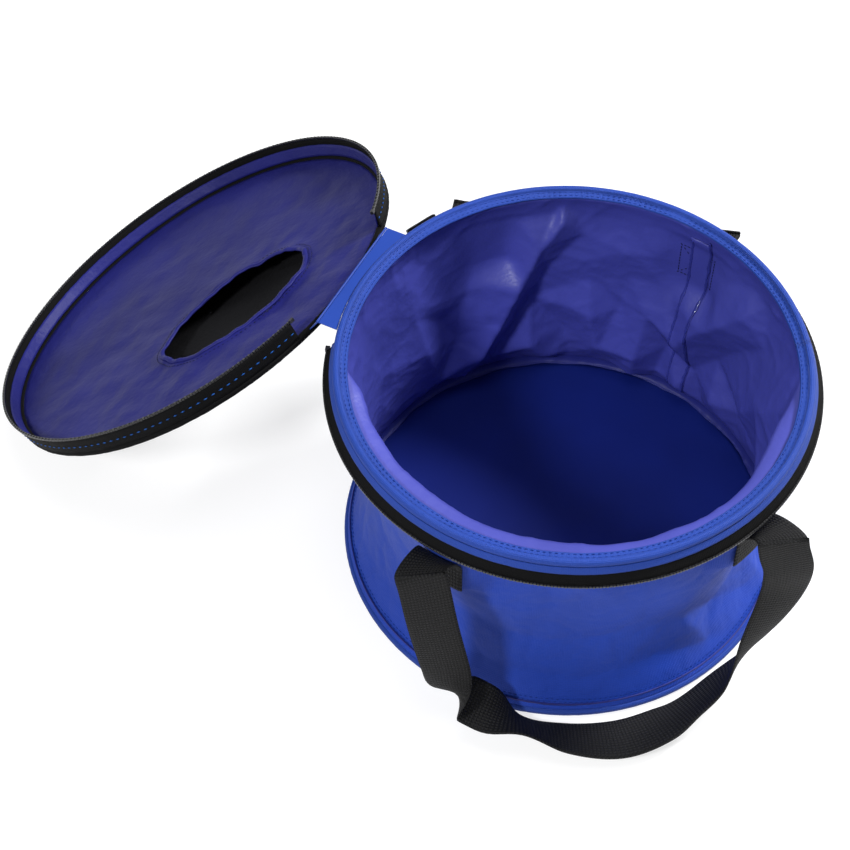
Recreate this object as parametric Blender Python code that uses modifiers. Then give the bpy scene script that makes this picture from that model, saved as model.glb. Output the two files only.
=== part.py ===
"""Collapsible camp bucket: two wire hoops joined by a slack coated-cloth wall, a zip-round lid on a
cloth hinge with a hand hole in its lining, and two webbing strap handles.

Row frame, in metres: the origin is on the ground at the centre of the base and +Z is up. The front
handle is centred on -Y. The lid is open, with its edge just off the ground, and both straps hang down.
"""

from math import cos, exp, floor, hypot, pi, radians, sin, sqrt

import bmesh
import bpy
from mathutils import Matrix, Vector

# Overall sizes
OUTER_RADIUS = 0.165  # outer edge of both hoop bindings
RIM_HEIGHT = 0.200  # centre of the rim wire above the ground
CLOTH = 0.0010  # coated cloth of the wall and floor
SEAT_GAP = 0.0003  # clearance where one piece lies on another
RING_STEPS = 56  # facets round a full circle
FULL_TURN = 2 * pi

# Hoops: spring wire in a folded cloth binding
WIRE_RADIUS = 0.0015
WIRE_SIDES = 6
BEAD_RADIUS = 0.0029  # outside of the binding round the wire
BEAD_POINTS = 8
BORE_POINTS = 6
BEAD_BORE = WIRE_RADIUS + SEAT_GAP
SLOT_HALF = CLOTH / 2 + SEAT_GAP  # the binding's open side, where the cloth goes in
HOOP_RADIUS = OUTER_RADIUS - BEAD_RADIUS
BASE_HOOP_HEIGHT = BEAD_RADIUS
HEM_WIDTH = 0.0078  # flat stitched part of the rim binding, inwards from the wire
HEM_THICKNESS = 0.0022
HEM_DROP = 0.0012
HEM_TOP_ANGLE = pi - radians(52)  # where the hem leaves the bead
HEM_BOTTOM_ANGLE = -pi + radians(28)

# Cloth wall between the hoops, with the slack folds of a bucket that is not pulled tight
WALL_COLUMNS = 56
WALL_ROWS = 9
WALL_HELD_SHARE = 0.03  # top and bottom of the wall that the bindings hold straight
WALL_WAIST = 0.0030  # how far the slack wall draws in at mid height
SLACK_POWER = 0.8  # under 1 for a wall that draws in soon after each hoop
FOLD_COUNT = 9
FOLD_DEPTH = 0.0085
FOLD_LEAN = radians(26)  # how far a fold turns round the bucket from base to rim
SWELL_COUNT = 4
SWELL_SHARE = 0.45  # how much the slower swell changes the folds' depth
SWELL_LEAN = 5.0
SEAM_TURN = radians(45)
TAPE_WIDTH = 0.018  # seam tape glued inside over the wall's upright seam
TAPE_THICKNESS = 0.0006
TAPE_ROOM = 0.0004  # slack between the tape and the wall's folds

# Lid hinge: a cloth strip with a stitched roll on the hinge line
HINGE_TURN = radians(146)
HINGE_RADIUS = 0.1735
HINGE_HEIGHT_DROP = 0.0005  # hinge line below the rim wire
HINGE_HALF_LENGTH = 0.050
HINGE_SEAM_RADIUS = 0.0009
STRIP_THICKNESS = 0.0006
STRIP_COLUMNS = 8
OPEN_ANGLE = radians(213.7)  # from shut to the open lid, whose edge is just off the ground

# Zip: half a chain on the rim's tape, half on the lid's skirt
ZIP_GAP_HALF = radians(20.5)  # no zip on this much either side of the hinge
ZIP_STEPS = 50
TOOTH_COUNT = 120
TOOTH_HALF = 0.0010
CORD_HALF = 0.0006  # half size of the chain between two teeth
TEETH_RING = 0.1712
TAPE_HALF = 0.0005
LOWER_TEETH_DROP = 0.0145  # below the rim wire
UPPER_TEETH_DROP = 0.0105
LOWER_TAPE_TOP_OUT = 0.0015  # from the rim wire, outwards and down
LOWER_TAPE_TOP_DROP = 0.0032
LOWER_TAPE_LEAN = 0.0010  # the tape's lower edge stays this far inside the teeth
STOP_LENGTH = 0.0036
LOWER_STOP_HALF = 0.0016  # enough to block the slider
UPPER_STOP_HALF = 0.0012

# Lid
LID_RISE = 0.0070  # lid wire above the rim wire when shut
LID_HOOP_RADIUS = 0.1665
LID_CLOTH = 0.0008
DOME_RISE = 0.0125  # how far the outer cover stands off the lining at the middle
DOME_RINGS = 4
COVER_SEAT_ANGLE = radians(115)  # where the cover's edge lies on the binding
HOLE_LENGTH = 0.128  # hand hole in the lining
HOLE_WIDTH = 0.076
HOLE_INSET = 0.058  # from the lid's centre towards the hinge
HOLE_SLIDE = 0.017
HOLE_SKEW = radians(30)
HOLE_STEPS = 32
HEM_ROLL = 0.0022  # thickness of the rolled edge of the hand hole
HEM_ROLL_WIDTH = 0.0050
HEM_ROLL_SIDES = 6

# Strap handles
STRAP_WIDTH = 0.034
STRAP_THICKNESS = 0.0016
HANDLE_RADIUS = 0.186  # from the bucket's axis to a strap's end
HANDLE_DROP = 0.028  # strap's end below the rim wire
PATCH_HEIGHT = 0.036
PATCH_STEPS = 4
PATCH_FADE = radians(11)  # the wall lies flat this far round a patch
PATCH_HOLD_SHARES = (0.50, 0.66)  # wall height where a patch starts to hold it, and holds it fully
STRAP_SMOOTHING = 3
FRONT_MIDDLE = radians(-90)
FRONT_HALF_SPAN = radians(40)
REAR_MIDDLE = radians(75)
REAR_HALF_SPAN = radians(29)

# Zip slider and pull
SLIDER_LENGTH = 0.0090
SLIDER_STEPS = 4
SLIDER_WALL = 0.0010
SLIDER_PLAY = 0.0004
SLIDER_TOP_RISE = 0.0030  # outer plate above the upper row of teeth
BRIDGE_WIDTH = 0.0020
BRIDGE_GAP = 0.0016
BRIDGE_LENGTH = 0.0062
PULL_LENGTH = 0.0230
PULL_WIDTH = 0.0056
PULL_THICKNESS = 0.0008
PULL_EYE_LENGTH = 0.0048
PULL_TIP_SHARES = ((0.7, 0.5), (0.9, 0.42), (1.0, 0.2))  # of its length, of its width

# Colours: linear RGB, roughness, metallic
FINISHES = {
    "blue_oxford": ((0.030, 0.085, 0.520), 0.70, 0.0),
    "violet_coating": ((0.085, 0.085, 0.480), 0.45, 0.0),
    "floor_blue": ((0.010, 0.025, 0.200), 0.60, 0.0),
    "black_webbing": ((0.012, 0.012, 0.014), 0.80, 0.0),
    "black_zip": ((0.010, 0.010, 0.011), 0.60, 0.0),
    "spring_steel": ((0.420, 0.420, 0.430), 0.35, 1.0),
    "slider_metal": ((0.050, 0.050, 0.055), 0.40, 0.8),
}

# A strap's centre line from its left end to its right one, in the handle's own frame, where the middle
# faces -Y: share of the half span, share of HANDLE_RADIUS, share of the strap end's height, and the
# direction of the strap's width as degrees round Z and degrees up. The left leg turns over near the
# ground, the middle lies along the ground, and the right leg rises.
STRAP_STATION_SHARES = (
    (-1.000, 1.000, 1.000, 0, 0),
    (-0.975, 1.004, 0.930, 0, 0),
    (-0.915, 1.014, 0.700, -4, 0),
    (-0.850, 1.008, 0.420, -10, 0),
    (-0.810, 1.010, 0.280, -30, 2),
    (-0.675, 0.995, 0.200, -100, -34),
    (-0.425, 1.000, 0.128, -102, 40),
    (-0.175, 1.010, 0.066, -95, 25),
    (0.100, 1.022, 0.046, -86, 12),
    (0.350, 1.010, 0.052, -78, 18),
    (0.550, 0.995, 0.084, -75, 36),
    (0.775, 0.990, 0.175, -115, 15),
    (0.950, 1.000, 0.350, -150, 0),
    (1.0625, 1.020, 0.580, -172, 0),
    (1.050, 1.030, 0.785, -180, 0),
    (1.0125, 1.010, 0.930, -180, 0),
    (1.000, 1.000, 1.000, -180, 0),
)

PIVOT_HEIGHT = RIM_HEIGHT - HANDLE_DROP
HINGE_HEIGHT = RIM_HEIGHT - HINGE_HEIGHT_DROP
LID_HEIGHT = RIM_HEIGHT + LID_RISE
LOWER_TEETH_HEIGHT = RIM_HEIGHT - LOWER_TEETH_DROP
UPPER_TEETH_HEIGHT = RIM_HEIGHT - UPPER_TEETH_DROP
TAPE_FOOT = TOOTH_HALF + 2 * SEAT_GAP  # a zip tape's lower edge above the middle of its teeth
PATCH_RADIUS = HOOP_RADIUS + CLOTH / 2 + SEAT_GAP
PATCH_HALF_TURN = STRAP_WIDTH / 2 / PATCH_RADIUS
PATCH_TURNS = (
    FRONT_MIDDLE - FRONT_HALF_SPAN,
    FRONT_MIDDLE + FRONT_HALF_SPAN,
    REAR_MIDDLE - REAR_HALF_SPAN,
    REAR_MIDDLE + REAR_HALF_SPAN,
)
HINGE_FRAME_TURN = HINGE_TURN - pi  # pieces round the hinge are drawn with it on -X


def clear_scene():
    for obj in list(bpy.data.objects):
        bpy.data.objects.remove(obj, do_unlink=True)


def make_finishes():
    made = {}
    for name, (colour, roughness, metallic) in FINISHES.items():
        material = bpy.data.materials.new(name)
        material.use_nodes = True
        shader = material.node_tree.nodes["Principled BSDF"]
        shader.inputs["Base Color"].default_value = (*colour, 1.0)
        shader.inputs["Roughness"].default_value = roughness
        shader.inputs["Metallic"].default_value = metallic
        material.diffuse_color = (*colour, 1.0)
        made[name] = material
    return made


def add_object(name, data, finish, smooth=True):
    """One named piece from a mesh or a curve, in the bucket's collection."""
    obj = bpy.data.objects.new(name, data)
    PARTS.objects.link(obj)
    data.materials.append(MATERIALS[finish])
    if smooth:
        data.shade_smooth()
        data.set_sharp_from_angle(angle=radians(40))
    return obj


def mesh_from_bmesh(name, bm):
    mesh = bpy.data.meshes.new(name)
    bmesh.ops.recalc_face_normals(bm, faces=bm.faces)
    bm.to_mesh(mesh)
    bm.free()
    return mesh


def screwed(name, points, edges, finish):
    """A full turn of a (radius, height) profile, with a Screw modifier."""
    mesh = bpy.data.meshes.new(name)
    mesh.from_pydata([(r, 0.0, z) for r, z in points], edges, [])
    obj = add_object(name, mesh, finish, smooth=False)
    turn = obj.modifiers.new("Turn", "SCREW")
    turn.angle = FULL_TURN
    turn.steps = turn.render_steps = RING_STEPS
    turn.use_merge_vertices = True
    turn.merge_threshold = WIRE_RADIUS / 100
    turn.use_smooth_shade = True
    return obj


def ring_from_profile(name, profile, finish):
    count = len(profile)
    return screwed(name, profile, [(i, (i + 1) % count) for i in range(count)], finish)


def arc_from_profile(name, profile, start, end, steps, finish):
    """Part of a turn of a closed (radius, height) profile, capped at both ends."""
    bm = bmesh.new()
    face = bm.faces.new([bm.verts.new((r * cos(start), r * sin(start), z)) for r, z in profile])
    bmesh.ops.spin(
        bm,
        geom=[face, *face.edges, *face.verts],
        cent=(0, 0, 0),
        axis=(0, 0, 1),
        angle=end - start,
        steps=steps,
        use_duplicate=False,
    )
    return add_object(name, mesh_from_bmesh(name, bm), finish)


def round_profile(radius, height, section, sides):
    """A clockwise circle in (radius, height), so its outer side runs from top to bottom."""
    angles = [pi / 2 - FULL_TURN * (i + 0.5) / sides for i in range(sides)]
    return [(radius + section * cos(a), height + section * sin(a)) for a in angles]


def arc_points(centre, section, start, end, count):
    """Points on a circle in (radius, height), from one angle to another."""
    angles = [start + (end - start) * i / (count - 1) for i in range(count)]
    return [(centre[0] + section * cos(a), centre[1] + section * sin(a)) for a in angles]


def bead_profile(radius, height, opening):
    """A binding folded round a wire, with its open side at the angle opening."""
    centre = (radius, height)
    outer_half = SLOT_HALF / BEAD_RADIUS
    inner_half = SLOT_HALF / BEAD_BORE
    whole = opening + FULL_TURN
    outer = arc_points(centre, BEAD_RADIUS, whole - outer_half, opening + outer_half, BEAD_POINTS)
    inner = arc_points(centre, BEAD_BORE, opening + inner_half, whole - inner_half, BORE_POINTS)
    return outer + inner


def rim_binding_profile():
    """The folded rim tape: a bead round the wire and a flat stitched hem on its inner side."""
    centre = (HOOP_RADIUS, RIM_HEIGHT)
    down = -pi / 2
    outer_half = SLOT_HALF / BEAD_RADIUS
    inner_half = SLOT_HALF / BEAD_BORE
    hem_tip = HOOP_RADIUS - HEM_WIDTH
    hem_top = RIM_HEIGHT + HEM_THICKNESS / 2 - HEM_DROP
    top_side = arc_points(centre, BEAD_RADIUS, HEM_TOP_ANGLE, down + outer_half, BEAD_POINTS - 2)
    bore = arc_points(
        centre, BEAD_BORE, down + inner_half, down + FULL_TURN - inner_half, BORE_POINTS
    )
    underside = arc_points(centre, BEAD_RADIUS, down - outer_half, HEM_BOTTOM_ANGLE, 3)
    hem = [
        (hem_tip + HEM_THICKNESS / 3, hem_top - HEM_THICKNESS),
        (hem_tip, hem_top - HEM_THICKNESS / 2),
        (hem_tip + HEM_THICKNESS / 3, hem_top),
    ]
    return top_side + bore + underside + hem


def grid_surface(columns, rows, point, closed):
    """A bmesh grid whose points come from point(column share, row share)."""
    bm = bmesh.new()
    across = columns if closed else columns + 1
    table = [
        [bm.verts.new(point(c / columns, r / rows)) for c in range(across)] for r in range(rows + 1)
    ]
    for r in range(rows):
        for c in range(columns):
            right = (c + 1) % across
            bm.faces.new((table[r][c], table[r][right], table[r + 1][right], table[r + 1][c]))
    return bm


def solidified(name, bm, thickness, finish):
    """An open surface given its thickness, half to each side."""
    obj = add_object(name, mesh_from_bmesh(name, bm), finish)
    shell = obj.modifiers.new("Thickness", "SOLIDIFY")
    shell.thickness = thickness
    shell.offset = 0
    return obj


def box_object(name, size, centre, turn, finish):
    bm = bmesh.new()
    matrix = Matrix.Translation(centre) @ Matrix.Rotation(turn, 4, "Z") @ Matrix.Diagonal((*size, 1.0))
    bmesh.ops.create_cube(bm, size=1.0, matrix=matrix)
    return add_object(name, mesh_from_bmesh(name, bm), finish, smooth=False)


def union(obj, other):
    """Joins another object into obj, and keeps the joined-in one as a hidden helper."""
    HELPERS.objects.link(other)
    PARTS.objects.unlink(other)
    other.hide_render = True
    other.display_type = "WIRE"
    join = obj.modifiers.new("Join " + other.name, "BOOLEAN")
    join.operation = "UNION"
    join.object = other


def flat_curve(name, outlines, thickness, finish):
    """A flat piece: closed outlines, the inner ones holes, extruded to a thickness."""
    flat = bpy.data.curves.new(name, "CURVE")
    flat.dimensions = "2D"
    flat.fill_mode = "BOTH"
    flat.extrude = thickness / 2
    for outline in outlines:
        spline = flat.splines.new("POLY")
        spline.points.add(len(outline) - 1)
        for point, (x, y) in zip(spline.points, outline):
            point.co = (x, y, 0, 1)
        spline.use_cyclic_u = True
    return add_object(name, flat, finish, smooth=False)


def polar(radius, turn, height=0.0):
    return Vector((radius * cos(turn), radius * sin(turn), height))


# Base and wall


def patch_slack(turn, height_share):
    """How slack the wall is: 0 where a handle patch holds it flat, 1 away from the patches."""
    low, high = PATCH_HOLD_SHARES
    rise = min(max((height_share - low) / (high - low), 0.0), 1.0)
    rise = rise * rise * (3 - 2 * rise)
    slack = 1.0
    for patch in PATCH_TURNS:
        away = (turn - patch + pi) % FULL_TURN - pi
        slack *= 1 - rise * exp(-((away / PATCH_FADE) ** 2))
    return slack


def wall_radius(turn, height_share):
    """Mid-surface radius of the slack wall: straight at both hoops, leaning folds between."""
    free_share = (height_share - WALL_HELD_SHARE) / (1 - 2 * WALL_HELD_SHARE)
    slack = sin(pi * min(max(free_share, 0.0), 1.0)) ** SLACK_POWER
    wave = (1 - cos(FOLD_COUNT * (turn - FOLD_LEAN * height_share))) / 2
    swell = (1 + sin(SWELL_COUNT * turn + SWELL_LEAN * height_share)) / 2
    drawn_in = WALL_WAIST + FOLD_DEPTH * wave * (1 - SWELL_SHARE + SWELL_SHARE * swell)
    return HOOP_RADIUS - slack * patch_slack(turn, height_share) * drawn_in


def wall_height(height_share):
    bottom = BASE_HOOP_HEIGHT + WIRE_RADIUS + SEAT_GAP
    top = RIM_HEIGHT - WIRE_RADIUS - SEAT_GAP
    return bottom + (top - bottom) * height_share


def wall_point(across, up):
    turn = FULL_TURN * across
    return polar(wall_radius(turn, up), turn, wall_height(up))


def wall_facet_point(turn, up):
    """A point on the wall's own flat facets, which the seam tape follows."""
    across = turn / FULL_TURN * WALL_COLUMNS
    column = floor(across)
    left = wall_point(column / WALL_COLUMNS, up)
    right = wall_point((column + 1) / WALL_COLUMNS, up)
    return left.lerp(right, across - column)


def build_base():
    base_wire = round_profile(HOOP_RADIUS, BASE_HOOP_HEIGHT, WIRE_RADIUS, WIRE_SIDES)
    ring_from_profile("base_hoop", base_wire, "spring_steel")
    base_bead = bead_profile(HOOP_RADIUS, BASE_HOOP_HEIGHT, pi / 2)
    ring_from_profile("base_binding", base_bead, "blue_oxford")
    floor_radius = HOOP_RADIUS - BEAD_RADIUS - SEAT_GAP
    bm = bmesh.new()
    bmesh.ops.create_cone(
        bm,
        cap_ends=True,
        segments=RING_STEPS,
        radius1=floor_radius,
        radius2=floor_radius,
        depth=CLOTH,
        matrix=Matrix.Translation((0, 0, CLOTH / 2)),
    )
    add_object("floor_panel", mesh_from_bmesh("floor_panel", bm), "floor_blue")


def build_wall():
    bm = grid_surface(WALL_COLUMNS, WALL_ROWS, wall_point, closed=True)
    solidified("wall_cloth", bm, CLOTH, "blue_oxford")
    inset = CLOTH / 2 + SEAT_GAP + TAPE_THICKNESS / 2 + TAPE_ROOM
    half_turn = TAPE_WIDTH / 2 / HOOP_RADIUS
    tape_rows = WALL_ROWS - 2

    def tape_point(across, up):
        turn = SEAM_TURN + half_turn * (2 * across - 1)
        return wall_facet_point(turn, (1 + tape_rows * up) / WALL_ROWS) - polar(inset, turn)

    bm = grid_surface(2, tape_rows, tape_point, closed=False)
    solidified("seam_tape", bm, TAPE_THICKNESS, "violet_coating")


# Zip halves and the cloth hinge, drawn with the hinge on -X


def tape_profile(top, bottom, half):
    """A cloth tape seen from its end, between two (radius, height) points."""
    along = Vector((bottom[0] - top[0], bottom[1] - top[1])).normalized()
    out = Vector((-along.y, along.x)) * half
    return [
        (top[0] + out.x, top[1] + out.y),
        (bottom[0] + out.x, bottom[1] + out.y),
        (bottom[0] - out.x, bottom[1] - out.y),
        (top[0] - out.x, top[1] - out.y),
    ]


def build_teeth(name, height):
    """A row of zip teeth: a square cord that swells at each tooth."""
    bm = bmesh.new()
    start = -pi + ZIP_GAP_HALF
    turn_step = (FULL_TURN - 2 * ZIP_GAP_HALF) / (2 * TOOTH_COUNT)
    sections = []
    for i in range(2 * TOOTH_COUNT + 1):
        half = TOOTH_HALF if i % 2 else CORD_HALF
        corners = ((half, half), (half, -half), (-half, -half), (-half, half))
        turn = start + turn_step * i
        sections.append([bm.verts.new(polar(TEETH_RING + r, turn, height + z)) for r, z in corners])
    for one, two in zip(sections[:-1], sections[1:]):
        for k in range(4):
            n = (k + 1) % 4
            bm.faces.new((one[k], one[n], two[n], two[k]))
    bm.faces.new(sections[0])
    bm.faces.new(sections[-1])
    return add_object(name, mesh_from_bmesh(name, bm), "black_zip", smooth=False)


def build_zip_half(row, height, top, bottom, stop_half):
    """One tape with its teeth and its two end stops."""
    start, end = -pi + ZIP_GAP_HALF, pi - ZIP_GAP_HALF
    profile = tape_profile(top, bottom, TAPE_HALF)
    pieces = [
        arc_from_profile("zip_tape_" + row, profile, start, end, ZIP_STEPS, "black_zip"),
        build_teeth("zip_teeth_" + row, height),
    ]
    past = (STOP_LENGTH / 2 + SEAT_GAP) / TEETH_RING
    for side, turn in (("left", start - past), ("right", end + past)):
        size = (2 * stop_half, STOP_LENGTH, 2 * stop_half)
        centre = polar(TEETH_RING, turn, height)
        pieces.append(box_object(f"zip_stop_{row}_{side}", size, centre, turn, "slider_metal"))
    return pieces


def build_hinge_strip(name, edge_radius, edge_height):
    """A ruled strip of cloth from a hoop's binding to the hinge line."""
    end = HINGE_SEAM_RADIUS + SEAT_GAP
    start = BEAD_RADIUS + SEAT_GAP + STRIP_THICKNESS / 4
    reach = Vector((HINGE_RADIUS - edge_radius, HINGE_HEIGHT - edge_height)).normalized()

    def strip_point(across, out):
        y = HINGE_HALF_LENGTH * (2 * across - 1)
        bead_x = -sqrt(edge_radius**2 - y**2)
        slope = Vector((-HINGE_RADIUS - bead_x, HINGE_HEIGHT - edge_height)).normalized()
        near = Vector((bead_x, edge_height)) + slope * start
        far = Vector((-HINGE_RADIUS + reach.x * end, HINGE_HEIGHT - reach.y * end))
        at = near.lerp(far, out)
        return (at.x, y, at.y)

    bm = grid_surface(STRIP_COLUMNS, 1, strip_point, closed=False)
    return solidified(name, bm, STRIP_THICKNESS, "blue_oxford")


def build_hinge_seam():
    """The stitched roll on the hinge line."""
    seam = bpy.data.curves.new("hinge_seam", "CURVE")
    seam.dimensions = "3D"
    seam.bevel_depth = HINGE_SEAM_RADIUS
    seam.bevel_resolution = 2
    seam.use_fill_caps = True
    line = seam.splines.new("POLY")
    line.points.add(1)
    for point, y in zip(line.points, (-HINGE_HALF_LENGTH, HINGE_HALF_LENGTH)):
        point.co = (-HINGE_RADIUS, y, HINGE_HEIGHT, 1)
    return add_object("hinge_seam", seam, "blue_oxford", smooth=False)


# Rim


def build_patch(name, middle, side, half_span):
    """A strap's sewn end: a square of webbing on the wall, and a fold out to the strap's first edge."""
    centre = middle + side * half_span
    outer = PATCH_RADIUS + STRAP_THICKNESS
    half = STRAP_THICKNESS / 2
    top = PIVOT_HEIGHT + STRAP_THICKNESS
    outline = [
        (outer, top),
        (outer, top - PATCH_HEIGHT),
        (PATCH_RADIUS, top - PATCH_HEIGHT),
        (PATCH_RADIUS, top),
    ]
    start, end = centre - PATCH_HALF_TURN, centre + PATCH_HALF_TURN
    patch = arc_from_profile(name, outline, start, end, PATCH_STEPS, "black_webbing")
    clear = hypot(half, half) + SEAT_GAP
    outward = polar(1, middle)
    chord = polar(1, middle + pi / 2)
    pivot = polar(HANDLE_RADIUS, centre) - outward * clear
    root = outer - half / 2
    plan = [
        polar(root, start),
        polar(root, end),
        pivot + chord * STRAP_WIDTH / 2,
        pivot - chord * STRAP_WIDTH / 2,
    ]
    bm = bmesh.new()
    face = bm.faces.new([bm.verts.new((p.x, p.y, PIVOT_HEIGHT - half)) for p in plan])
    grown = bmesh.ops.extrude_face_region(bm, geom=[face])
    moved = [v for v in grown["geom"] if isinstance(v, bmesh.types.BMVert)]
    bmesh.ops.translate(bm, verts=moved, vec=(0, 0, STRAP_THICKNESS))
    fold = add_object(name + "_fold", mesh_from_bmesh(name, bm), "black_webbing", smooth=False)
    union(patch, fold)


def build_rim():
    rim_wire = round_profile(HOOP_RADIUS, RIM_HEIGHT, WIRE_RADIUS, WIRE_SIDES)
    ring_from_profile("rim_hoop", rim_wire, "spring_steel")
    ring_from_profile("rim_binding", rim_binding_profile(), "blue_oxford")
    top = (HOOP_RADIUS + LOWER_TAPE_TOP_OUT, RIM_HEIGHT - LOWER_TAPE_TOP_DROP)
    bottom = (TEETH_RING - LOWER_TAPE_LEAN, LOWER_TEETH_HEIGHT + TAPE_FOOT)
    pieces = build_zip_half("lower", LOWER_TEETH_HEIGHT, top, bottom, LOWER_STOP_HALF)
    pieces.append(build_hinge_strip("hinge_strip_rim", HOOP_RADIUS, RIM_HEIGHT))
    pieces.append(build_hinge_seam())
    for piece in pieces:
        piece.rotation_euler.z = HINGE_FRAME_TURN
    build_patch("handle_patch_front_left", FRONT_MIDDLE, -1, FRONT_HALF_SPAN)
    build_patch("handle_patch_front_right", FRONT_MIDDLE, 1, FRONT_HALF_SPAN)
    build_patch("handle_patch_rear_right", REAR_MIDDLE, -1, REAR_HALF_SPAN)
    build_patch("handle_patch_rear_left", REAR_MIDDLE, 1, REAR_HALF_SPAN)


# Lid, drawn shut with its hinge on -X, then turned open about the hinge


def hole_points(grow):
    """Points round the hand hole, grown outwards by a distance."""
    points = []
    for i in range(HOLE_STEPS):
        a = FULL_TURN * i / HOLE_STEPS
        x = (HOLE_WIDTH / 2 + grow) * cos(a)
        y = (HOLE_LENGTH / 2 + grow) * sin(a)
        turned_x = x * cos(HOLE_SKEW) - y * sin(HOLE_SKEW)
        turned_y = x * sin(HOLE_SKEW) + y * cos(HOLE_SKEW)
        points.append((turned_x - HOLE_INSET, turned_y - HOLE_SLIDE))
    return points


def build_liner():
    """The violet lining: a round sheet in the binding's slot, with the hand hole."""
    radius = LID_HOOP_RADIUS - WIRE_RADIUS - SEAT_GAP
    turns = [FULL_TURN * i / RING_STEPS for i in range(RING_STEPS)]
    outer = [(radius * cos(a), radius * sin(a)) for a in turns]
    liner = flat_curve("lid_liner", (outer, hole_points(0)), LID_CLOTH, "violet_coating")
    liner.location.z = LID_HEIGHT
    return liner


def build_hole_hem():
    """The rolled edge of the hand hole, on the lining's inner face."""
    middle = LID_HEIGHT - LID_CLOTH / 2 - SEAT_GAP - HEM_ROLL / 2
    bm = bmesh.new()
    rings = []
    for k in range(HEM_ROLL_SIDES):
        a = FULL_TURN * (k + 0.5) / HEM_ROLL_SIDES
        grow = HEM_ROLL_WIDTH / 2 * (1 + cos(a)) + SEAT_GAP
        height = middle + HEM_ROLL / 2 * sin(a)
        rings.append([bm.verts.new((x, y, height)) for x, y in hole_points(grow)])
    for k in range(HEM_ROLL_SIDES):
        lower, upper = rings[k], rings[(k + 1) % HEM_ROLL_SIDES]
        for i in range(HOLE_STEPS):
            j = (i + 1) % HOLE_STEPS
            bm.faces.new((lower[i], lower[j], upper[j], upper[i]))
    return add_object("hole_hem", mesh_from_bmesh("hole_hem", bm), "violet_coating")


def build_cover():
    """The black outer cover: a shallow dome from the binding's top, off the lining at the middle."""
    reach = BEAD_RADIUS + SEAT_GAP
    edge_radius = LID_HOOP_RADIUS + reach * cos(COVER_SEAT_ANGLE)
    edge_height = LID_HEIGHT + reach * sin(COVER_SEAT_ANGLE)
    radii = [edge_radius * k / DOME_RINGS for k in range(DOME_RINGS + 1)]
    outer = [(r, edge_height + LID_CLOTH + DOME_RISE * (1 - (r / edge_radius) ** 2)) for r in radii]
    inner = [(r, z - LID_CLOTH) for r, z in reversed(outer)]
    points = outer + inner
    edges = [(i, i + 1) for i in range(len(points) - 1)]
    return screwed("lid_cover", points, edges, "black_webbing")


def build_lid():
    lid_wire = round_profile(LID_HOOP_RADIUS, LID_HEIGHT, WIRE_RADIUS, WIRE_SIDES)
    lid_bead = bead_profile(LID_HOOP_RADIUS, LID_HEIGHT, pi)
    pieces = [
        ring_from_profile("lid_hoop", lid_wire, "spring_steel"),
        ring_from_profile("lid_binding", lid_bead, "black_webbing"),
        build_liner(),
        build_hole_hem(),
        build_cover(),
        build_hinge_strip("hinge_strip_lid", LID_HOOP_RADIUS, LID_HEIGHT),
    ]
    under_bead = (BEAD_RADIUS + SEAT_GAP + TAPE_HALF) * sqrt(0.5)
    top = (LID_HOOP_RADIUS + under_bead, LID_HEIGHT - under_bead)
    bottom = (TEETH_RING, UPPER_TEETH_HEIGHT + TAPE_FOOT)
    pieces += build_zip_half("upper", UPPER_TEETH_HEIGHT, top, bottom, UPPER_STOP_HALF)
    drawn_at = Vector((-HINGE_RADIUS, 0, HINGE_HEIGHT))
    hinge = bpy.data.objects.new("lid_hinge_axis", None)
    PARTS.objects.link(hinge)
    hinge.location = polar(HINGE_RADIUS, HINGE_TURN, HINGE_HEIGHT)
    hinge.rotation_euler = (0, -OPEN_ANGLE, HINGE_FRAME_TURN)
    for piece in pieces:
        piece.parent = hinge
        piece.matrix_parent_inverse = Matrix.Translation(drawn_at).inverted()


# Strap handles


def smooth_rows(rows, between):
    """Catmull-Rom points through the stations, so the strap bends evenly."""
    made = []
    for i in range(len(rows) - 1):
        before = rows[max(i - 1, 0)]
        start, end = rows[i], rows[i + 1]
        after = rows[min(i + 2, len(rows) - 1)]
        for step in range(between):
            t = step / between
            bend = (2 * before - 5 * start + 4 * end - after) * t**2
            turn = (3 * start - before - 3 * end + after) * t**3
            made.append((2 * start + (end - before) * t + bend + turn) / 2)
    made.append(rows[-1])
    return made


def build_strap(name, middle, half_span):
    """A webbing strap between two patches, turning about the line through its ends."""
    rows = []
    for span_share, radius_share, height_share, width_turn, width_rise in STRAP_STATION_SHARES:
        at = polar(
            HANDLE_RADIUS * radius_share,
            -pi / 2 + half_span * span_share,
            PIVOT_HEIGHT * height_share,
        )
        rise = radians(width_rise)
        width = polar(cos(rise), radians(width_turn), sin(rise))
        rows.append(Vector((*at, *width)))
    rows = smooth_rows(rows, STRAP_SMOOTHING)
    centres = [Vector(row[:3]) for row in rows]
    pivot = Vector((0, -HANDLE_RADIUS * cos(half_span), PIVOT_HEIGHT))
    bm = bmesh.new()
    edges = []
    for i, row in enumerate(rows):
        along = (centres[min(i + 1, len(rows) - 1)] - centres[max(i - 1, 0)]).normalized()
        across = Vector(row[3:])
        if 0 < i < len(rows) - 1:
            across = across - along * across.dot(along)
        half = across.normalized() * STRAP_WIDTH / 2
        at = centres[i] - pivot
        edges.append((bm.verts.new(at - half), bm.verts.new(at + half)))
    for (a, b), (c, d) in zip(edges[:-1], edges[1:]):
        bm.faces.new((a, b, d, c))
    strap = solidified(name, bm, STRAP_THICKNESS, "black_webbing")
    strap.matrix_world = Matrix.Rotation(middle + pi / 2, 4, "Z") @ Matrix.Translation(pivot)


# Zip slider and pull tab


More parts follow.
